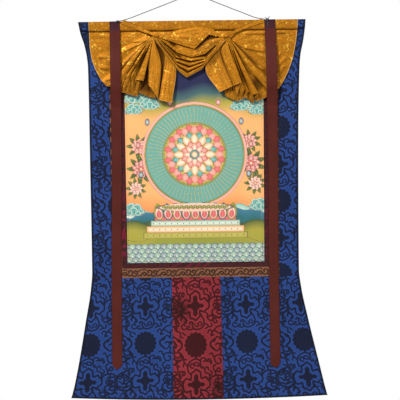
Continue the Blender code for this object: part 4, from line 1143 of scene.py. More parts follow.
def paint_peony(picture, x, drop, size, paint):
    for turn in LEAF_TURNS:
        leaf = picture.petal(x, drop, turn, 12 * size, 40 * size, 6.2 * size)
        picture.lay(leaf, "leaf", "dark leaf", 5)
        angle = math.radians(turn)
        aside = np.abs(-(picture.x - x) * math.sin(angle) + (picture.drop - drop) * math.cos(angle))
        picture.draw(aside, leaf > 0.8, gold=True)
    for count, root, tip, half, inner in ((9, 6, 25, 8.0, "cream"), (7, 4, 18, 7.0, "cream"),
                                          (5, 1, 11, 5.0, "blush")):
        for step in range(count):
            turn = 360 * step / count + 17 * count
            petal = picture.petal(x, drop, turn, root * size, tip * size, half * size)
            picture.lay(petal, paint, inner, 9 * size)
    picture.lay(picture.disc(x, drop, 4.2 * size, 4.2 * size), "amber", "cream", 4)


def paint_wheel(picture):
    x, drop = WHEEL
    away_x, away_drop = picture.x - x, picture.drop - drop
    reach, turn = np.hypot(away_x, away_drop), np.arctan2(away_drop, away_x)
    for radius, paint, rays in WHEEL_RINGS:
        depth = radius - reach
        picture.lay(depth, paint)
        if rays:
            beside = np.abs(np.sin(turn * rays / 2)) * reach * 2 / rays
            wavy = np.abs(np.sin((turn + 0.012 * np.sin(reach / 5)) * rays / 2)) * reach * 2 / rays
            picture.draw(np.minimum(beside + 0.15, wavy + 0.1), depth > 3, gold=True)
    for radius in (154.0, 93.5):
        picture.draw(np.abs(reach - radius), gold=True)
    for count, offset, root, tip, half, paint, inner in WHEEL_PETALS:
        for step in range(count):
            petal = picture.petal(x, drop, 360 * (step + offset) / count - 90, root, tip, half)
            picture.lay(petal, paint, inner, 8)
            picture.draw(np.abs(petal - 3.0), petal > 0, gold=True)
    for radius, paint, inner in ((14.0, "deep teal", "turquoise"), (9.0, "amber", "cream")):
        picture.lay(radius - reach, paint, inner, 6)
    beads = np.abs(np.sin(turn * 6)) * reach / 6
    picture.draw(np.maximum(beads, np.abs(reach - 11.5)) + 0.2, gold=True)
    for angle, radius, half_x, half_drop, paint in JEWELS:
        jewel = picture.disc(x + radius * math.cos(math.radians(angle)),
                             drop - radius * math.sin(math.radians(angle)), half_x, half_drop)
        picture.lay(jewel, paint, "pale", 9)
        picture.draw(np.abs(jewel + 2.4), jewel < 0, gold=True)


def paint_terrace(picture):
    """A lotus terrace under the wheel, with its upturned petals over a stepped base."""
    x = WHEEL[0]
    for level, half, height, paint, inner in TERRACE_STEPS:
        depth = np.minimum(half - np.abs(picture.x - x), height - np.abs(picture.drop - level))
        picture.lay(depth, paint, inner, 9)
        picture.draw(np.abs(depth - 3.2), depth > 0, gold=True)
        picture.draw(np.hypot(wrapped(picture.x - x, 18.0), picture.drop - level) - 1.2, depth > 3)
    for step in range(TERRACE_PETALS):
        across = step - (TERRACE_PETALS - 1) / 2
        for size, paint, inner in ((1.0, "deep teal" if step % 2 else "olive", None),
                                   (0.74, "blush", "cream"), (0.46, "rose", "pink")):
            petal = picture.petal(x + across * 27.0, 662.0, -90 + across * 2.2, -12 * size,
                                  40 * size, 15.5 * size)
            picture.lay(petal, paint, inner, 8)
        spine = np.abs(picture.x - x - across * 27.0 - (662 - picture.drop) * across * 0.038)
        picture.draw(spine, petal > 0.5, gold=True)
    seat = picture.disc(x, 636.0, 112.0, 13.0)
    picture.lay(seat, "cream", "blush", 10)
    picture.draw(np.abs(seat - 2.6), seat > 0, gold=True)
    for count, level, radius in ((15, 634.0, 5.2), (14, 638.0, 4.2)):
        for step in range(count):
            across = (step - (count - 1) / 2) * 13.5
            picture.lay(picture.disc(x + across, level, radius, radius * 0.8), "leaf", "sun", 4)


def picture_layers(x, drop):
    picture = Picture(x, drop)
    paint_ground(picture)
    for cloud in CLOUDS:
        paint_cloud(picture, *cloud)
    paint_waves(picture)
    for peony in PEONIES:
        paint_peony(picture, *peony)
    paint_wheel(picture)
    paint_terrace(picture)
    inset = np.minimum(np.minimum(x - picture_edge("left")(drop), picture_edge("right")(drop) - x),
                       np.minimum(drop - PAINTING_TOP, PAINTING_FOOT - drop))
    picture.draw(np.abs(inset - 4.5))
    picture.draw(np.abs(inset - 6.3), gold=True)
    return picture


# ---- sizes and colours that a user would change ----
class ScrollColours(bpy.types.PropertyGroup):
    """Ground and motif colours of the scroll's cloths, in linear red, green and blue."""
    blue_ground: FloatVectorProperty(
        name="Blue ground", description="Ground of the mount's brocade",
        default=(0.022, 0.054, 0.200), size=3, subtype="COLOR", min=0, max=1)
    blue_motif: FloatVectorProperty(
        name="Blue motif", description="Motifs of the mount's brocade",
        default=(0.010, 0.012, 0.026), size=3, subtype="COLOR", min=0, max=1)
    red_ground: FloatVectorProperty(
        name="Door ground", description="Ground of the red door panel",
        default=(0.235, 0.026, 0.034), size=3, subtype="COLOR", min=0, max=1)
    red_motif: FloatVectorProperty(
        name="Door motif", description="Motifs of the red door panel",
        default=(0.036, 0.008, 0.009), size=3, subtype="COLOR", min=0, max=1)
    gold_ground: FloatVectorProperty(
        name="Wide border ground", description="Ground of the wide border",
        default=(0.200, 0.086, 0.045), size=3, subtype="COLOR", min=0, max=1)
    gold_motif: FloatVectorProperty(
        name="Wide border scrolls", description="Scrolls of the wide border",
        default=(0.032, 0.014, 0.010), size=3, subtype="COLOR", min=0, max=1)
    dark_red: FloatVectorProperty(
        name="Narrow border ground", description="Ground of the narrow border",
        default=(0.040, 0.014, 0.014), size=3, subtype="COLOR", min=0, max=1)
    dark_red_motif: FloatVectorProperty(
        name="Narrow border sprigs", description="Its small red sprigs",
        default=(0.085, 0.014, 0.020), size=3, subtype="COLOR", min=0, max=1)
    veil: FloatVectorProperty(
        name="Veil", description="Silk of the veil and its ties",
        default=(0.430, 0.160, 0.008), size=3, subtype="COLOR", min=0, max=1)
    veil_curls: FloatVectorProperty(
        name="Veil curls", description="Lighter curls woven in the veil",
        default=(0.820, 0.460, 0.050), size=3, subtype="COLOR", min=0, max=1)
    ribbon: FloatVectorProperty(
        name="Ribbons", description="Silk of the two hanging ribbons",
        default=(0.085, 0.016, 0.011), size=3, subtype="COLOR", min=0, max=1)
    binding: FloatVectorProperty(
        name="Binding", description="The strip round the mount's edges",
        default=(0.010, 0.012, 0.026), size=3, subtype="COLOR", min=0, max=1)
    cord: FloatVectorProperty(
        name="Cord", description="Twisted hanging cord",
        default=(0.090, 0.094, 0.092), size=3, subtype="COLOR", min=0, max=1)


class ScrollSizes(bpy.types.PropertyGroup):
    """How finely the cloths are built, and the size of their smallest parts."""
    brocade_step: FloatProperty(
        name="Brocade step", description="Distance between the brocades' points",
        default=0.0021, min=0.001, max=0.01, unit="LENGTH")
    canvas_step: FloatProperty(
        name="Canvas step", description="Distance between the painting's points",
        default=0.00175, min=0.001, max=0.01, unit="LENGTH")
    ribbon_cup: FloatProperty(
        name="Ribbon cup", description="How far a ribbon's edges turn back",
        default=0.0007, min=0, max=0.003, unit="LENGTH")
    cord_twist: FloatProperty(
        name="Cord twist", description="Length of one turn of the cord's strands",
        default=0.0085, min=0.003, max=0.03, unit="LENGTH")
    cord_strands: IntProperty(
        name="Cord strands", description="Number of strands in the cord",
        default=3, min=2, max=6)
    floor_side: FloatProperty(
        name="Floor side", description="Side of the square studio floor",
        default=3.0, min=1, max=6, unit="LENGTH")


def colours():
    return bpy.context.scene.scroll_colours


def sizes():
    return bpy.context.scene.scroll_sizes


# ---- the mount ----
def panel_places(left, right, drops, pitch, foot=None, coarse=4):
    """x and drop of a panel's grid, whose last rows follow the foot's bow where there is a foot."""
    widest = max(float(right(drop) - left(drop)) for drop in (drops[0], drops[-1]))
    share = even_steps(0.0, 1.0, pitch / widest, coarse)[None, :]
    drop = np.repeat(np.asarray(drops, float)[:, None], share.shape[1], axis=1)
    low = drop
    for _ in range(3):
        x = left(low) + (right(low) - left(low)) * share
        if foot is not None:
            low = foot(x, drop)
    return x, low


def add_panel(name, x, drop, motif, masks, along=None):
    """A flat piece of the mount with its woven motif, pillowed a little between its seams."""
    behind = BACK + wave(x, drop)
    rows, columns = (np.arange(count) for count in x.shape)
    inward = np.minimum.outer(np.minimum(rows, rows[::-1]) * 1.0,
                              np.minimum(columns, columns[::-1]) * 1.0)
    pillow = PILLOW * (rolled(inward, 2.5) - 1)
    front = place_grid(x, drop, behind + thickness(x, drop) + pillow)
    cloth = cloth_places(x, drop) if along is None else cloth_places(along, x)
    return closed_sheet(name, front, place_grid(x, drop, behind), 4,
                        {"cloth": cloth, "motif": motif, **masks})


def foot_rows(below, pitch):
    """Drops of a foot piece's rows at its middle, and how they bow along the foot edge."""
    start, end = SEAM_DROP, FOOT_MIDDLE - below

    def bowed(x, drop):
        return drop - (FOOT_MIDDLE - foot_edge(x)) * (drop - start) / (end - start)

    return even_steps(start, end, pitch, 4), bowed


def mount_motif(panel, x, drop):
    """The brocade's pattern on a panel, laid where that panel was cut from the cloth."""
    from_x, from_drop, lean, upright, repeat = WEAVE_PLACES[panel]
    spread = np.sign(x) * lean * (x / MOUNT_HALF_WIDTH) ** 2 * (drop - upright)
    down = (drop - from_drop + WEFT_TILT * (x - from_x)) * BROCADE_REPEAT[1] / repeat
    return read_chart(brocade_chart(), BROCADE_REPEAT, x - from_x - spread, down)


def blue_brocade():
    tint = colours()
    return (bpy.data.materials.get("Blue brocade")
            or brocade_material("Blue brocade", tint.blue_ground, tint.blue_motif,
                                (0.05, 0.06, 0.11)))


def red_brocade():
    tint = colours()
    return brocade_material("Red brocade", tint.red_ground, tint.red_motif, (0.10, 0.04, 0.045),
                            tint_and_painted_shade=(0.028, 0.009, 0.008))


def hang_panel(node, near, far, drops, painted_shade_and_marks=None, bend=None, blue=True):
    """A panel between two edges, with its hem's sewn line, its painted shade and darker marks."""
    x, drop = panel_places(near, far, drops, sizes().brocade_step / MM, bend)
    seam = drop - (TOP_HEM_END + HEM_STITCH)
    if bend is not None:
        seam = foot_edge(x) - BINDING_WIDTH - FOOT_HEM_HEIGHT + HEM_STITCH - drop
    masks = {"seam": seam} if painted_shade_and_marks is None else {"seam": seam, "tint_and_painted_shade": painted_shade_and_marks(x, drop)}
    made = add_panel(node + "_cloth", x, drop, mount_motif(node, x, drop), masks)
    finish_cloth(made, node,
                 blue_brocade() if blue else red_brocade())


def left_first(side, outside, inside):
    return (outside, inside) if side == "left" else (inside, outside)


def add_heading():
    reach = RED_BORDER + GOLD_BORDER
    drops = even_steps(TOP_EDGE, PAINTING_TOP - reach, sizes().brocade_step / MM, 4)
    hang_panel("heading", picture_edge("left", reach), picture_edge("right", reach), drops)


def add_side_strips():
    drops = even_steps(TOP_EDGE, SEAM_DROP, sizes().brocade_step / MM, 4)
    for side, dark in (("left", 0.8), ("right", 0.35)):
        near, far = left_first(side, outer(side, BINDING_WIDTH),
                               picture_edge(side, RED_BORDER + GOLD_BORDER))

        # Painted shade just under the top hem, stronger on the left, and painted shadow at the
        # strip's edges.
        def painted_shade_and_marks(x, drop):
            shade_under_top_hem = ramp(drop, 103, 112) * (1 - ramp(drop, 150, 225)) * dark
            return np.maximum(shade_under_top_hem, painted_edge_shadow(x - near(drop), far(drop) - x, side))

        hang_panel("side_strip_" + side, near, far, drops,
                   painted_shade_and_marks)


def painted_edge_shadow(from_left, from_right, side):
    """Painted shadow: a strip is darker where it turns under its binding, and a little where it is
    sewn in.
    """
    outside, inside = (from_left, from_right) if side == "left" else (from_right, from_left)
    return np.maximum(0.85 * (1 - ramp(outside, 0.8, 3.4)), 0.6 * (1 - ramp(inside, 0.6, 2.4)))


def add_foot_panels():
    drops, bend = foot_rows(BINDING_WIDTH, sizes().brocade_step / MM)
    for side in ("left", "right"):
        near, far = left_first(side, outer(side, BINDING_WIDTH), door_edge(side))
        # Painted shadow along the binding and along the seam to the door.
        hang_panel("foot_panel_" + side, near, far, drops,
                   lambda x, drop: painted_edge_shadow(x - near(drop), far(drop) - x, side), bend)


def add_door():
    drops, bend = foot_rows(BINDING_WIDTH, sizes().brocade_step / MM)

    # Two soft darker patches on the door, with a fine mottle.
    def painted_shade_and_marks(x, drop):
        shade = 1.1 * np.exp(-((x + 54) / 30) ** 2 - ((drop - 942) / 34) ** 2)
        shade += 0.9 * np.exp(-((x - 58) / 22) ** 2 - ((drop - 1183) / 30) ** 2)
        shade *= 0.78 + 0.22 * np.sin(x / 5.1) * np.sin(drop / 6.3)
        return np.clip(shade, 0, 1)

    hang_panel("red_door", door_edge("left"), door_edge("right"), drops,
               painted_shade_and_marks, bend, blue=False)


def add_bindings():
    material = plain_cloth_material("Edge binding", colours().binding, (0.8, 0.8), 0.6)
    rows, bend = foot_rows(BINDING_WIDTH, BINDING_PITCH)
    upper = even_steps(TOP_EDGE, SEAM_DROP, BINDING_PITCH, 1)
    drops = np.concatenate([upper[:-1], rows])
    for side in ("left", "right"):
        near, far = left_first(side, outer(side, 0.0), outer(side, BINDING_WIDTH))
        x, drop = panel_places(near, far, drops, 0.7,
                               lambda x, drop: np.where(drop < SEAM_DROP, drop, bend(x, drop)), 1)
        add_binding("binding_" + side, x, drop, material)
    ends = np.linspace(FOOT_MIDDLE - BINDING_WIDTH, FOOT_MIDDLE, 7)
    x, drop = panel_places(outer("left", -0.6), outer("right", -0.6), ends, BINDING_PITCH,
                           lambda x, drop: drop - (FOOT_MIDDLE - foot_edge(x)), 1)
    add_binding("binding_foot", x, drop, material)


def add_binding(node, x, drop, material):
    """A folded strip: its front is rounded across its width."""
    places = x if x.shape[1] < x.shape[0] else drop.T
    across = np.minimum(places - places[:, :1], places[:, -1:] - places)
    across = across if places is x else across.T
    behind = BACK + wave(x, drop)
    lift = BINDING_EXTRA * (0.25 + 0.75 * rolled(across, 1.6))
    made = closed_sheet(node + "_cloth", place_grid(x, drop, behind + thickness(x, drop) + lift),
                        place_grid(x, drop, behind), 1, {"cloth": cloth_places(x + drop, drop - x)})
    finish_cloth(made, node, material)


def red_figures(side, x, drop, inner):
    """Where the narrow border's brocade shows its red figures."""
    if side in ("top", "foot"):
        figure = np.clip(1.5 * np.sin(x / 5.1 + 1.4 * np.sin(x / 17) + drop / 4), 0, 1)
        return 0.45 * figure * np.exp(-((x + 12) / 60) ** 2)
    figure = 0.15 + 1.2 * np.sin(drop / 5.6 + 1.9 * np.sin(drop / 15))
    figure += 0.8 * np.sin(x / 2.2 + drop / 8.5)
    shown = 0.08 + 0.55 * ramp(drop, 540, 700) if side == "left" else 0.16 * ramp(drop, 480, 600)
    return np.clip(figure, 0, 1) * shown * ramp(inner, 1.5, 4.5)


def outer_dots(side, edge, drop):
    """The wide border's outer edge is dark, with the ground showing in dashes."""
    if side == "left":
        shown = ramp(drop, 270, 285) * (1 - ramp(drop, 555, 575))
        shown += 0.7 * np.exp(-((drop - 730) / 30) ** 2)
        shown = np.clip(shown * (0.45 + np.sin(drop / 5.2 + np.sin(drop / 16))), 0, 1)
    elif side == "right":
        shown = np.exp(-(wrapped(drop + 3 * np.sin(drop / 40), 31.0) / 2.4) ** 2)
    else:
        return np.zeros_like(drop)
    return 0.85 * (1 - ramp(edge, 4, 7)) * (1 - shown)


def add_borders():
    """The narrow red border and the wide gold-brown one round it."""
    tint = colours()
    red = brocade_material("Narrow border brocade", tint.dark_red, tint.dark_red_motif,
                           (0.05, 0.03, 0.03), relief=0.3, tint_and_painted_shade=(0.25, 0.016, 0.042))
    gold = brocade_material("Wide border brocade", tint.gold_ground, tint.gold_motif,
                            (0.12, 0.08, 0.06), relief=0.4)
    add_border("red_border", red, 0.0, RED_BORDER, SPRIG_LINES, SPRIG_REPEAT)
    add_border("gold_border", gold, RED_BORDER, GOLD_BORDER, SCROLL_LINES,
               SCROLL_REPEAT)


def add_border(name, material, inner, width, lines, repeat):
    """A border of four strips that starts `inner` from the painting; the level ones run across."""
    reach = inner + width
    top, foot = PAINTING_TOP - inner, PAINTING_FOOT + inner
    across = picture_edge("left", reach), picture_edge("right", reach)
    for side, near, far, start, end in (
            ("left", across[0], picture_edge("left", inner), top, foot),
            ("right", picture_edge("right", inner), across[1], top, foot),
            ("top", *across, PAINTING_TOP - reach, top),
            ("foot", *across, foot, PAINTING_FOOT + reach)):
        drops = even_steps(start, end, BORDER_PITCH, 4)
        x, drop = panel_places(near, far, drops, BORDER_PITCH)
        upright = side in ("left", "right")
        motif = read_chart(line_chart(lines, repeat), repeat, drop if upright else x,
                           x - near(drop) if upright else drop - drops[0])
        edge = x - near(drop) if side == "left" else far(drop) - x
        painted_shade_and_marks = (red_figures(side, x, drop, width - edge) if name == "red_border"
                else outer_dots(side, edge, drop))
        made = add_panel(f"{name}_{side}_cloth", x, drop, motif,
                         {"seam": np.full(x.shape, FAR), "tint_and_painted_shade": painted_shade_and_marks},
                         drop if upright else None)
        long = foot - top if upright else float(far(drops[0]) - near(drops[0]))
        finish_cloth(made, f"{name}_{side}", material)


def add_painting():
    pitch = sizes().canvas_step / MM
    drops = even_steps(PAINTING_TOP, PAINTING_FOOT, pitch, 6)
    x, drop = panel_places(picture_edge("left"), picture_edge("right"), drops, pitch, coarse=6)
    picture = picture_layers(x, drop)
    paint = np.concatenate([picture.paint, np.ones((*x.shape, 1))], axis=-1)
    buckle = 0.5 * np.sin(x / 37 + 1) * np.sin(drop / 88) + 0.35 * np.sin(drop / 52 + x / 140)
    made = closed_sheet("painting_cloth",
                        place_grid(x, drop, BACK + CLOTH + wave(x, drop) + buckle),
                        place_grid(x, drop, BACK + 0.6 + wave(x, drop) + buckle), 6,
                        {"cloth": cloth_places(x, drop), "paint": paint, "ink": picture.ink,
                         "gold": picture.gold})
    finish_cloth(made, "painting", painting_material())


# ---- the veil ----
def neck(side, radius, forward_in, forward_out):
    """Where a line of the veil runs over its gather, from the fan side to the swag side."""
    centre_x, centre_drop = GATHERS[side]
    turn = 1 if side == "left" else -1
    places = []
    for step, degrees in enumerate(NECK_ANGLES):
        angle = math.radians(degrees)
        share = step / (len(NECK_ANGLES) - 1)
        places.append((centre_x + turn * radius * math.cos(angle),
                       centre_drop - radius * math.sin(angle),
                       forward_in + (forward_out - forward_in) * share))
    return places if side == "left" else places[::-1]


def neck_steps():
    return [NECK_STEP * step for step in range(len(NECK_ANGLES))]


def between_necks(share):
    return 1.2 + 0.8 * share


def knot_positions():
    """The parameter of each control place along a line: left end, bend, neck, swag, and so on."""
    left = [0.0, 0.5] + [1.0 + step for step in neck_steps()]
    swag = [between_necks(share) for share in SWAG_KNEES]
    return left + swag + [2.0 + step for step in neck_steps()] + [2.7, VEIL_END]


def with_corners(knots, places):
    """More control places by the swag's knees and lowest point, where the pleats turn sharply."""
    knots, places = list(knots), list(places)
    first = 2 + len(NECK_ANGLES)
    for index in (first + 2, first + 1, first):
        for other, at in ((index + 1, index + 1), (index - 1, index)):
            knots.insert(at, knots[index] + (knots[other] - knots[index]) * CORNER)
            places.insert(at, mixed(places[index], places[other], CORNER))
    return knots, places


def mixed(first, second, share):
    return tuple(a + (b - a) * share for a, b in zip(first, second))


def straight_bend(end, inner, forward):
    return ((end[0] + inner[0]) / 2, (end[1] + inner[1]) / 2, forward)


def plain_line(drop, forward, left_x, right_x):
    """A level line of the veil over the top hem."""
    (left_gather, _), (right_gather, _) = GATHERS["left"], GATHERS["right"]
    steps = [(step - 2) * PLAIN_NECK_STEP for step in range(len(NECK_ANGLES))]
    inner_left, inner_right = left_gather + steps[-1], right_gather + steps[0]
    xs = [left_x, (left_x + left_gather) / 2] + [left_gather + step for step in steps]
    xs += [inner_left + (inner_right - inner_left) * share for share in SWAG_KNEES]
    xs += [right_gather + step for step in steps] + [(right_x + right_gather) / 2, right_x]
    return [(x, drop, forward) for x in xs]


def slack_line(row, order):
    """A line of the cloth that hangs between the seam and the first pleat."""
    left_end, bend, (swag_drop, swag_forward), right_end = row[:3], row[3], row[4:6], row[6:]
    radius = PINCH_RADIUS + len(SWAG) * PLEAT_PITCH + FOLD_HALF
    radius += SLACK_PITCH * (len(SLACK_ROWS) - 1 - order)
    rise = SLACK_NECK_FORWARD[0] + SLACK_NECK_FORWARD[1] * order
    left_neck = neck("left", radius, rise, rise)
    right_neck = neck("right", radius, rise, rise)
    swag = [(x, swag_drop, swag_forward) for x in SLACK_SWAG]
    return ([left_end, straight_bend(left_end, left_neck[0], bend)] + left_neck + swag
            + right_neck + [straight_bend(right_end, right_neck[-1], bend), right_end])


def fold_line(fold, line):
    """Control places of one line of a pleat, right across the veil."""
    column = {"upper": 0, "lower": 2, "floor start": 4, "floor end": 6}[line]
    deep = line.startswith("floor")
    depth = 9 if deep else 8
    outward = {"upper": FOLD_HALF, "floor end": -FOLD_HALF}.get(line, 0.0)
    radius = PINCH_RADIUS + PLEAT_PITCH * (len(SWAG) - 1 - fold) + outward
    pinch = PINCH_BACK if deep else PINCH_FRONT
    necks = {side: neck(side, radius, pinch, pinch + SWAG_SHIFT) for side in GATHERS}
    halves = []
    for side, fan, bends, inner in (("left", LEFT_FAN, LEFT_BENDS, necks["left"][0]),
                                    ("right", RIGHT_FAN, RIGHT_BENDS, necks["right"][-1])):
        row = fan[fold]
        end_tuck, bend_tuck = TUCKED.get((side, fold), (0, 0)) if line == "lower" else (0, 0)
        end = (row[column], row[column + 1], row[depth] - end_tuck)
        bend = straight_bend(end, inner, BEND_SHARE * end[2] + (1 - BEND_SHARE) * pinch)
        if fold in bends:
            bent = bends[fold]
            bend = (bent[column], bent[column + 1], bent[depth] - bend_tuck)
        halves.append([end, bend])
    swag_row = next(row for row in SWAG[fold] if row[0] == ("valley" if deep else line))
    swag = [(swag_row[1 + 2 * k], swag_row[2 + 2 * k], swag_row[7 + k]) for k in range(3)]
    return halves[0] + necks["left"] + swag + necks["right"] + halves[1][::-1]


def part_lines(first, second, before, after):
    """Two neighbouring lines moved apart until the cloth has room to turn between them."""
    middle = (first + second) / 2
    along = units(np.gradient(middle, axis=0))
    ways = []
    for other in (before, after):
        way = other - middle
        ways.append(units(way - (way * along).sum(axis=1, keepdims=True) * along))
    aside = units(ways[0] - ways[1])
    short = LEAST_TURN - ((first - second) * aside).sum(axis=1, keepdims=True)
    apart = np.linalg.norm(first - second, axis=1, keepdims=True)
    push = aside * np.maximum(short, 0.0) / 2 * (1 - ramp(apart, 4.0, 9.0))
    return first + push, second - push


def slack_floor(line, upper):
    way = upper - line
    long = np.linalg.norm(way, axis=1, keepdims=True)
    return line + way * SLACK_TURN / np.maximum(long, SLACK_TURN)


def veil_lines(where):
    """The veil's charted lines, from its top edge to its lower hem."""
    knots = knot_positions()

    def sampled(line):
        return smooth_through(knots, np.array(line), where)

    def pleat(fold, line):
        corner_knots, places = with_corners(knots, fold_line(fold, line))
        return smooth_through(corner_knots, np.array(places), where)

    lines = [sampled(plain_line(*row[:4])) for row in PLAIN_ROWS]
    lines += [sampled(slack_line(row, order)) for order, row in enumerate(SLACK_ROWS)]
    folds = range(len(SWAG))
    uppers = [pleat(fold, "upper") for fold in folds]
    lowers = [pleat(fold, "lower") for fold in folds]
    starts = [lines[-1]] + [pleat(fold, "floor start") for fold in folds[:-1]]
    ends = [lines[-1] * 0.5 + slack_floor(lines[-1], uppers[0]) * 0.5]
    ends += [pleat(fold, "floor end") for fold in folds[:-1]]
    lines.pop()
    for fold in folds:
        before = lines[-1] if fold == 0 else lowers[fold - 1]
        lines += part_lines(starts[fold], ends[fold], before, uppers[fold])
        after = starts[fold + 1] if fold < len(SWAG) - 1 else lowers[fold]
        upper, lower = part_lines(uppers[fold], lowers[fold], ends[fold], after)
        width = np.linalg.norm(upper - lower, axis=1)
        face = (upper + lower) / 2
        face[:, 2] += np.minimum(FACE_RISE * width, MOST_FACE_RISE)
        lines += [upper, face, lower]
    return np.array(lines)


def even_stations():
    """Stations along the veil that lie about VEIL_ALONG apart on its longest lines."""
    trial = np.linspace(0, VEIL_END, TRIAL_STATIONS)
    lines = veil_lines(trial)
    steps = np.percentile(np.linalg.norm(np.diff(lines, axis=1), axis=2), 80, axis=0)
    along = np.concatenate([[0.0], np.cumsum(np.maximum(steps, 0.4))])
    return np.interp(np.linspace(0, along[-1], round(along[-1] / VEIL_ALONG) + 1), along, trial)


def line_shades():
    """How shaded each of the veil's lines is: the hem's crease and the pleats' floors are."""
    above = [row[4] for row in PLAIN_ROWS] + [0.0] * (len(SLACK_ROWS) - 1)
    return above + [1.0, 1.0, 0.0, 0.0, 0.0] * len(SWAG)


def finer_rows(lines):
    """More rows between the charted lines, rounded at the folds, with their shade and fold."""
    ahead = np.concatenate([2 * lines[:1] - lines[1:2], lines, 2 * lines[-1:] - lines[-2:-1]])
    tangent = units(ahead[2:] - ahead[:-2])
    rows, shades, folds, dark = [], [], [], line_shades()
    before_folds = len(lines) - 5 * len(SWAG)
    for index in range(len(lines) - 1):
        start, end = lines[index], lines[index + 1]
        gap = np.linalg.norm(end - start, axis=1)
        count = int(np.clip(round(np.percentile(gap, 85) / VEIL_DOWN), 2, 14))
        first = tangent[index] * gap[:, None] * FOLD_ROUNDING
        last = tangent[index + 1] * gap[:, None] * FOLD_ROUNDING
        for t in np.linspace(0, 1, count, endpoint=False):
            slow = t * t * (3 - 2 * t)
            pace = t + (slow - t) * FOLD_ROUNDING
            rows.append(start + (end - start) * pace + t * (1 - t) ** 2 * first
                        - t * t * (1 - t) * last)
            shades.append(dark[index] + (dark[index + 1] - dark[index]) * t)
            folds.append((index + t - before_folds) / 5)
    folds.append(folds[-1])
    rows, shades = np.array([*rows, lines[-1]]), np.array([*shades, dark[-1]])
    return rows, shades[:, None], np.array(folds)[:, None]


def crease_lift(x, drop):
    """How far the slack cloth's creases stand forward, and the shade under their sharp sides."""
    lift, shade = np.zeros_like(x), np.zeros_like(x)
    for from_x, from_drop, to_x, to_drop, height, soft, sharp, dark in SLACK_CREASES:
        way = np.array([to_x - from_x, to_drop - from_drop])
        long = float(np.hypot(*way))
        ahead = ((x - from_x) * way[0] + (drop - from_drop) * way[1]) / long
        below = ((drop - from_drop) * way[0] - (x - from_x) * way[1]) / long * np.sign(way[0])
        ends = ramp(ahead, -4, 10) * (1 - ramp(ahead, long - 10, long + 6))
        raised = np.exp(-(below / np.where(below > 0, sharp, soft)) ** 2)
        under = np.exp(-((below - sharp * 1.3) / (sharp * 1.2)) ** 2)
        lift = np.maximum(lift, height * raised * ends)
        shade = np.maximum(shade, dark * under * ends)
    return lift, shade


def pocket_shade(x, drop, folds):
    """How shaded the hollows of the swag are, each on its own folds only."""
    shade = np.zeros_like(x)
    for at_x, at_drop, long, wide, slope, dark, first, last in POCKETS:
        size = math.hypot(1, slope)
        ahead = ((x - at_x) + (drop - at_drop) * slope) / size
        aside = ((drop - at_drop) - (x - at_x) * slope) / size
        inside = 1 - ramp(np.hypot(ahead / long, aside / wide), 0.6, 1.05)
        shade = np.maximum(shade, dark * inside * within(folds, first, last, 0.06))
    return shade


def within(value, first, last, soft):
    return ramp(value, first - soft, first + soft) * (1 - ramp(value, last - soft, last + soft))


def fan_place(side, x, drop):
    """How far places lie outwards from a gather, how far away they are, and 1 in its fan."""
    centre_x, centre_drop = GATHERS[side]
    out = (centre_x - x) if side == "left" else (x - centre_x)
    away = np.hypot(out, drop - centre_drop)
    return out, away, ramp(out, -36, -24) * ramp(drop, centre_drop + 2, centre_drop + 12)


def between_pleats(table, x, drop, folds):
    """The most that any row of a table gives the places between the pleats of the two fans."""
    most = np.zeros_like(x)
    for side, first, last, start, end, value in table:
        _, away, fan = fan_place(side, x, drop)
        inside = within(folds, first, last, 0.03) * within(away, start, end, 14.0) * fan
        most = np.maximum(most, value * inside)
    return most


def small_folds(x, drop):
    """Little folds that run out from each gather in the floors of its fan, and how lit they are."""
    lift, lit = np.zeros_like(x), np.zeros_like(x)
    for side in GATHERS:
        out, away, fan = fan_place(side, x, drop)
        turn = np.degrees(np.arctan2(out, drop - GATHERS[side][1])) + 1.3 * np.sin(away / 13)
        top = np.abs(np.sin(math.pi * turn / SMALL_FOLD)) ** 0.8
        near = fan * ramp(drop, 190, 215) * (1 - ramp(away, 235, 260))
        lift += near * (ramp(away, 60, 130) * 3.2 * top + 2.5 * ramp(away, 120, 160))
        lit += near * ramp(away, 70, 150) * (0.3 + 0.7 * top)
    return lift, lit


def creased(middle, shades, folds):
    """The veil with its slack cloth's creases and its pockets, and how shaded every point is."""
    x, drop = middle[..., 0].copy(), middle[..., 1].copy()
    slack = ramp(drop, 106, 112) * (1 - ramp(middle[..., 2], 6, 9))
    ripple = 0.35 * np.sin(x / 8.3 + drop / 21) * np.sin(drop / 13 - x / 40)
    lift, under = crease_lift(x, drop)
    floor = shades * (drop > TOP_HEM_END + 10)
    rise, lit = small_folds(x, drop)
    lit = np.maximum(0.8 * lit, between_pleats(LIT_FLOORS, x, drop, folds))
    veil_painted_shade = np.maximum.reduce([shades * (1 - lit), under * slack, pocket_shade(x, drop, folds),
                                between_pleats(GAPS, x, drop, folds)])
    middle[..., 2] += np.maximum((lift + ripple) * slack, -0.9) + rise * floor
    return middle, veil_painted_shade


def strewn_curls(along, down):
    """The veil's curls, strewn over the cloth by slow shifts of their chart."""
    across = along * 1.22 + 8 * np.sin(down / 23 + along / 71) + 4 * np.sin(along / 13.7 + 2)
    lower = down * 1.22 + 8 * np.sin(along / 29 + 1) + 3.5 * np.sin(down / 10.3)
    return read_chart(line_chart(CURL_LINES, CURL_REPEAT), CURL_REPEAT, across, lower)


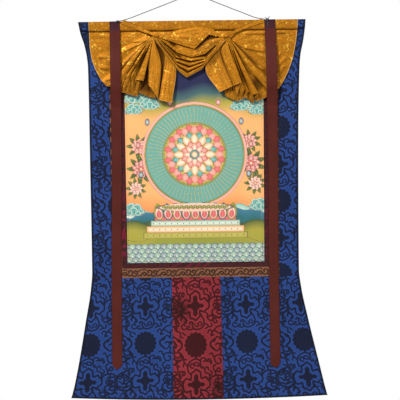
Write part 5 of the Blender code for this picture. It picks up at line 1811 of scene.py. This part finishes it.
def add_veil():
    middle, shades, folds = finer_rows(veil_lines(even_stations()))
    middle, veil_painted_shade = creased(middle, shades, folds)
    near, far = offset_surfaces(middle, VEIL_HALF)
    along, down = arc_length(middle, axis=1), arc_length(middle)
    sides = np.minimum(along, along[:, -1:] - along)
    masks = {"cloth": cloth_places(along, down),
             "motif": np.where(middle[..., 1] < TOP_HEM_END - 1,
                               strewn_curls(along * 1.4, down * 1.3), strewn_curls(along, down)),
             "streaks": (ramp(folds, -0.2, 0.6)
                         * ramp(np.gradient(down, axis=0) / STREAK_STEP, 0.3, 1.0)),
             "pulled": cloth_places(along * PULLED_ALONG, folds * STREAKS + 0 * along),
             "hem": np.minimum(sides + 1.7 * ramp(folds, -0.4, 0.0), down[-1:] - down + 1.1),
             "veil_painted_shade": veil_painted_shade}
    made = closed_sheet("veil_cloth", place(near), place(far), 1, masks)
    finish_cloth(made, "veil", veil_silk())


def veil_silk():
    return (bpy.data.materials.get("Gold veil silk")
            or veil_material(colours().veil, colours().veil_curls))


def arc_length(places, axis=0):
    """The length along a line of places, or along all the lines of a grid."""
    steps = np.cumsum(np.linalg.norm(np.diff(places, axis=axis), axis=-1), axis=axis)
    return np.pad(steps, [(int(index == axis), 0) for index in range(steps.ndim)])


def add_band(name, places, widths, thick, relief, masks):
    """A strip along a route, with `relief` forward of it in each of its columns of points."""
    run = np.gradient(places, axis=0)
    side = units(np.stack([-run[:, 1], run[:, 0], np.zeros(len(run))], axis=1))
    rise = units(np.cross(run, side))
    rise *= np.sign(rise[:, 2:3])
    columns = relief.shape[1]
    across = widths[:, None] * np.linspace(0.5, -0.5, columns)
    along = np.repeat(arc_length(places)[:, None], columns, axis=1)
    middle = places[:, None] + side[:, None] * across[..., None] + rise[:, None] * relief[..., None]
    half = rise[:, None] * thick / 2
    values = {"cloth": cloth_places(across, along), "edge": widths[:, None] / 2 - np.abs(across)}
    values.update({key: made(across, along) for key, made in masks.items()})
    return closed_sheet(name, place(middle + half), place(middle - half), 1, values)


def add_ties():
    for side, route in TIE_ROUTES.items():
        path = smooth_through(np.arange(len(route)), np.array(route),
                              np.linspace(0, len(route) - 1, TIE_ROWS))
        width = path[:, 3:4]
        share = np.linspace(-1, 1, TIE_COLUMNS)[None, :]
        along = arc_length(path[:, :3])[:, None]
        relief = 0.4 * np.cos(share * 7.5 + along / 60) + 0.2 * np.cos(share * 13 - along / 31)
        relief = relief * (width / 15) - 0.5 * share ** 4
        # The curls are fainter on the ties, and their edges get painted shade.
        masks = {"motif": lambda across, long: strewn_curls(across + 12, long) - 1.2,
                 "streaks": lambda across, long: np.full(long.shape, 0.6),
                 "pulled": lambda across, long: cloth_places(long * PULLED_ALONG, across * 0.4),
                 "hem": lambda across, long: np.full(long.shape, FAR),
                 "veil_painted_shade": lambda across, long: ramp(np.abs(across) / width, 0.36, 0.5)}
        made = add_band("veil_tie_" + side + "_cloth", path[:, :3], path[:, 3], 0.9, relief, masks)
        finish_cloth(made, "veil_tie_" + side, veil_silk())


def ribbon_forward(x, drop):
    """The ribbon lies over the veil, then just clear of the cloth below it."""
    table = np.array(RIBBON_RELIEF)
    last = table[-1]
    upper = smooth_through(table[:, 0], table[:, 1:], np.minimum(drop, last[0]))[:, 0]
    over_cloth = BACK + CLOTH + wave(x, drop) + RIBBON_CLEAR
    lower = last[1] + (over_cloth - last[1]) * ramp(drop, last[0], last[0] + RIBBON_SETTLE)
    return np.where(drop < last[0], upper, lower)


def add_ribbons():
    material = plain_cloth_material("Maroon ribbon silk", colours().ribbon, (0.5, 1.6), 0.5,
                                    edge=(0.05, 0.010, 0.008))
    cup = sizes().ribbon_cup / MM
    for side, (tip_x, tip_drop) in RIBBON_TIPS.items():
        foot_drop = tip_drop - RIBBON_POINT
        drop = np.concatenate([np.linspace(RIBBON_TOP, foot_drop, 380, endpoint=False),
                               np.linspace(foot_drop, tip_drop - 0.3, 14)])
        run = np.array(RIBBON_RUNS[side])
        body, widths = smooth_through(run[:, 0], run[:, 1:], np.minimum(drop, foot_drop)).T
        pointed = np.clip((drop - foot_drop) / RIBBON_POINT, 0, 1)
        x = body + (tip_x - body) * pointed
        sway = 0.35 * np.sin(drop / 71 + (1 if side == "left" else 2))
        places = np.stack([x, drop, ribbon_forward(x, drop) + sway], axis=1)
        widths = np.maximum(widths * (1 - pointed ** 1.5), 0.4)
        across = np.linspace(-1, 1, 13)[None, :]
        relief = -cup * across ** 2 + 0.18 * np.cos(across * 5 + drop[:, None] / 90)
        relief += 0.25 * np.sin(drop[:, None] / 33 + across) * ramp(drop, 300, 420)[:, None]
        # Darker over the top of the ribbon.
        top = {"tint_and_painted_shade": lambda across, long: 0.75 * (1 - ramp(long, 22, 34))}
        made = add_band("ribbon_" + side + "_cloth", places, widths, 0.8, relief, top)
        long = float(arc_length(places)[-1]) * MM
        finish_cloth(made, "ribbon_" + side, material)


# ---- the cord and its knots ----
def strand_tube(path, radius, ring):
    """The rings of a twisted tube, narrowed at its ends, with their groove shade and places."""
    length = arc_length(path)
    even = np.linspace(0, length[-1], max(8, round(length[-1] / TUBE_STEP)))
    line = np.stack([np.interp(even, length, path[:, k]) for k in range(3)], axis=1)
    along = units(np.gradient(line, axis=0))
    side = np.cross(along, (0.0, 0.0, 1.0))
    level = np.linalg.norm(side, axis=1, keepdims=True) < 1e-3
    side = units(np.where(level, (1.0, 0.0, 0.0), side))[:, None]
    up = np.cross(side[:, 0], along)[:, None]
    turn = np.linspace(0, 2 * math.pi, ring, endpoint=False)
    twisted = turn[None, :] - even[:, None] * 2 * math.pi / (sizes().cord_twist / MM)
    lobe = np.abs(np.cos(sizes().cord_strands * twisted / 2))
    reach = radius * (0.80 + 0.20 * lobe)
    taper = rolled(np.minimum(even, even[-1] - even) + 0.3, 1.4)[:, None]
    offset = np.cos(turn)[None, :, None] * side + np.sin(turn)[None, :, None] * up
    tube = line[:, None] + offset * (reach * taper)[..., None]
    around, down = np.meshgrid(turn * radius, even)
    return tube, lobe, cloth_places(down, around)


def add_tube(name, paths, radius, ring=14):
    """Twisted tubes along paths, each closed at its ends, as one object."""
    tubes, lobes, cloths = zip(*(strand_tube(path, radius, ring) for path in paths))
    faces, first = [], 0
    for tube in tubes:
        ids = first + np.arange(len(tube) * ring).reshape(-1, ring)
        beside = np.roll(ids, -1, axis=1)
        cells = np.stack([ids[:-1], ids[1:], beside[1:], beside[:-1]], axis=-1)
        faces += [*cells.reshape(-1, 4).tolist(), ids[0].tolist(), ids[-1][::-1].tolist()]
        first += ids.size
    made = add_mesh(name, place(np.concatenate([tube.reshape(-1, 3) for tube in tubes])), faces,
                    {"groove": np.concatenate([lobe.ravel() for lobe in lobes]),
                     "cloth": np.concatenate([cloth.reshape(-1, 3) for cloth in cloths])})
    material = bpy.data.materials.get("Twisted grey cord") or cord_material(colours().cord)
    made.data.materials.append(material)
    return made


def cord_path():
    route = np.array(CORD_ROUTE)
    long = arc_length(route)
    return smooth_through(long, route, np.linspace(0, long[-1], CORD_POINTS))


# A knot's turns about its middle: x, drop, forward.
KNOT_TURNS = (
    ((5.4, 0.6, -1.0), (2.2, -2.6, 1.4), (-3.2, -2.2, 1.8), (-4.4, 0.8, -0.4), (-1.0, 2.4, -1.6),
     (3.0, 1.4, 0.4), (3.6, -1.0, 1.8), (0.2, -2.2, 2.2), (-3.2, 0.2, 1.6), (-2.0, 2.2, 0.4)),
    ((-4.6, -0.8, -1.2), (-1.2, -1.0, 2.4), (1.2, 1.6, 1.8), (4.2, 1.2, -0.8)),
)
KNOT_SHAPES = {"left": (1.15, 0.62, 0.7), "right": (1.0, 0.95, 0.9)}
KNOTS = {"left": (-229.0, 76.6, 10.9), "right": (217.8, 77.0, 10.9)}
KNOT_STRANDS = {  # the strand that ties the knot down over the hem: x, drop, forward
    "left": ((-227.0, 77.0, 10.0), (-230.5, 78.2, 9.4), (-236.0, 78.6, 9.0), (-240.5, 79.4, 8.0)),
    "right": ((217.0, 77.4, 10.0), (219.0, 83.0, 9.2), (220.0, 90.0, 8.6), (220.4, 96.0, 7.9)),
}
KNOT_TAILS = (((0.5, -1.0, 0.5), (-3.0, -4.2, 0.8), (-6.2, -7.0, 0.4)),
              ((0.5, -1.0, 0.5), (3.6, -4.4, 0.2), (7.0, -9.6, 0.0)))


def add_cord_and_knots():
    path = cord_path()
    cord = add_tube("cord_twisted", [path], CORD_RADIUS)
    fit_piece(cord, "cord")
    for side, middle in KNOTS.items():
        runs = [curve_through(turns, KNOT_STEPS) * KNOT_SHAPES[side] + middle
                for turns in KNOT_TURNS]
        runs.append(curve_through(KNOT_STRANDS[side], KNOT_STEPS))
        if side == "right":
            runs += [curve_through(tail, KNOT_STEPS) + middle for tail in KNOT_TAILS]
        knot = add_tube("cord_knot_" + side + "_tied", runs, CORD_RADIUS * 0.95, 12)
        fit_piece(knot, "cord_knot_" + side)
    world = place(path)


# ---- the stage ----
CAMERA_AWAY = 5.0
SENSOR = 36.0
VIEW_WIDTH = 1.2
CAMERA_AT = (0.0118, -0.6197)
CAMERA_ROLL = 0.01309
FLOOR_HEIGHT = -1.5
LIGHTS = (  # name, place, aim, side in metres, watts
    ("Key light", (-1.7, -3.2, 2.2), (0.0, 0.0, -0.6), 1.1, 205.0),
    ("Fill light", (2.6, -3.0, 0.6), (0.0, 0.0, -0.3), 2.0, 46.0),
)


def add_stage():
    scene = bpy.context.scene
    world = bpy.data.worlds.new("Studio")
    scene.world = world
    world.use_nodes = True
    tree = world.node_tree
    tree.nodes.clear()
    rays = add_node(tree, "ShaderNodeLightPath")
    lit = add_node(tree, "ShaderNodeBackground", {"Color": (0.93, 0.95, 1.0, 1.0), "Strength": 0.2})
    seen = add_node(tree, "ShaderNodeBackground", {"Color": (1.0, 1.0, 1.0, 1.0), "Strength": 1.0})
    mix = add_node(tree, "ShaderNodeMixShader",
                   {0: rays.outputs["Is Camera Ray"], 1: lit.outputs[0], 2: seen.outputs[0]})
    add_node(tree, "ShaderNodeOutputWorld", {0: mix.outputs[0]})
    for name, at, aim, side, watts in LIGHTS:
        data = bpy.data.lights.new(name, "AREA")
        data.size = side
        data.energy = watts
        lamp = bpy.data.objects.new(name, data)
        scene.collection.objects.link(lamp)
        lamp.location = at
        lamp.rotation_euler = (Vector(aim) - Vector(at)).to_track_quat("-Z", "Y").to_euler()
    camera_data = bpy.data.cameras.new("Photograph")
    camera_data.sensor_width = SENSOR
    camera_data.lens = SENSOR * CAMERA_AWAY / VIEW_WIDTH
    camera_data.clip_end = 50.0
    camera = bpy.data.objects.new("Photograph", camera_data)
    scene.collection.objects.link(camera)
    cosine = math.sqrt(1 - CAMERA_ROLL ** 2)
    camera.matrix_world = Matrix((
        (cosine, CAMERA_ROLL, 0.0, CAMERA_AT[0]),
        (0.0, 0.0, -1.0, -CAMERA_AWAY),
        (-CAMERA_ROLL, cosine, 0.0, CAMERA_AT[1]),
        (0.0, 0.0, 0.0, 1.0),
    ))
    scene.camera = camera
    scene.view_settings.view_transform = "Standard"
    bpy.ops.mesh.primitive_plane_add(size=sizes().floor_side, location=(0.0, 0.0, FLOOR_HEIGHT))
    floor = bpy.context.object
    floor.name = "studio_floor"
    bpy.ops.object.mode_set(mode="EDIT")
    bpy.ops.mesh.bevel(offset=0.1, segments=8, affect="VERTICES")
    bpy.ops.object.mode_set(mode="OBJECT")
    bpy.ops.object.transform_apply(location=True, rotation=True, scale=True)
    floor.data.materials.append(floor_material())


# ---- operators, panel and registration ----
class SCROLL_OT_mount(bpy.types.Operator):
    """Weave and hang the brocade heading and the side strips"""
    bl_idname = "scroll.mount"
    bl_label = "Mount above the foot"

    def execute(self, context):
        add_heading()
        add_side_strips()
        return {"FINISHED"}


class SCROLL_OT_foot(bpy.types.Operator):
    """Weave and hang the foot panels and the red door panel"""
    bl_idname = "scroll.foot"
    bl_label = "Foot panels and door"

    def execute(self, context):
        add_foot_panels()
        add_door()
        return {"FINISHED"}


class SCROLL_OT_bindings(bpy.types.Operator):
    """Fold the dark strip round the mount's edges"""
    bl_idname = "scroll.bindings"
    bl_label = "Edge bindings"

    def execute(self, context):
        add_bindings()
        return {"FINISHED"}


class SCROLL_OT_borders(bpy.types.Operator):
    """Sew the wide and the narrow border round the painting"""
    bl_idname = "scroll.borders"
    bl_label = "Borders of the painting"

    def execute(self, context):
        add_borders()
        return {"FINISHED"}


class SCROLL_OT_painting(bpy.types.Operator):
    """Paint the lotus wheel on its canvas"""
    bl_idname = "scroll.painting"
    bl_label = "Painting"

    def execute(self, context):
        add_painting()
        return {"FINISHED"}


class SCROLL_OT_veil(bpy.types.Operator):
    """Gather and hang the gold veil with its two ties"""
    bl_idname = "scroll.veil"
    bl_label = "Veil and ties"

    def execute(self, context):
        add_veil()
        add_ties()
        return {"FINISHED"}


class SCROLL_OT_ribbons(bpy.types.Operator):
    """Hang the two ribbons over the veil"""
    bl_idname = "scroll.ribbons"
    bl_label = "Ribbons"

    def execute(self, context):
        add_ribbons()
        return {"FINISHED"}


class SCROLL_OT_cord(bpy.types.Operator):
    """Twist the hanging cord and tie its knots"""
    bl_idname = "scroll.cord"
    bl_label = "Cord and knots"

    def execute(self, context):
        add_cord_and_knots()
        return {"FINISHED"}


class SCROLL_OT_stage(bpy.types.Operator):
    """Set the camera, the lights and the studio floor"""
    bl_idname = "scroll.stage"
    bl_label = "Camera, lights and floor"

    def execute(self, context):
        add_stage()
        return {"FINISHED"}


OPERATORS = (SCROLL_OT_stage, SCROLL_OT_cord, SCROLL_OT_mount, SCROLL_OT_foot, SCROLL_OT_bindings,
             SCROLL_OT_borders, SCROLL_OT_painting, SCROLL_OT_veil, SCROLL_OT_ribbons)


class SCROLL_PT_panel(bpy.types.Panel):
    """The scroll's sizes, colours and pieces"""
    bl_label = "Scroll painting"
    bl_idname = "SCROLL_PT_panel"
    bl_space_type = "VIEW_3D"
    bl_region_type = "UI"
    bl_category = "Scroll"

    def draw(self, context):
        scene = context.scene
        for group in (scene.scroll_sizes, scene.scroll_colours):
            box = self.layout.box()
            for key in group.__annotations__:
                box.prop(group, key)
        for operator in OPERATORS:
            self.layout.operator(operator.bl_idname)


CLASSES = (ScrollColours, ScrollSizes, *OPERATORS, SCROLL_PT_panel)


def register():
    for cls in CLASSES:
        bpy.utils.register_class(cls)
    bpy.types.Scene.scroll_colours = PointerProperty(type=ScrollColours)
    bpy.types.Scene.scroll_sizes = PointerProperty(type=ScrollSizes)


def unregister():
    del bpy.types.Scene.scroll_sizes
    del bpy.types.Scene.scroll_colours
    for cls in reversed(CLASSES):
        bpy.utils.unregister_class(cls)


def main():
    register()
    bpy.ops.object.select_all(action="DESELECT")
    for build_group in (weave_group, patch_group, thread_line_group):
        build_group()
    for operator in OPERATORS:
        prefix, name = operator.bl_idname.split(".")
        getattr(getattr(bpy.ops, prefix), name)()


if __name__ == "__main__":
    main()
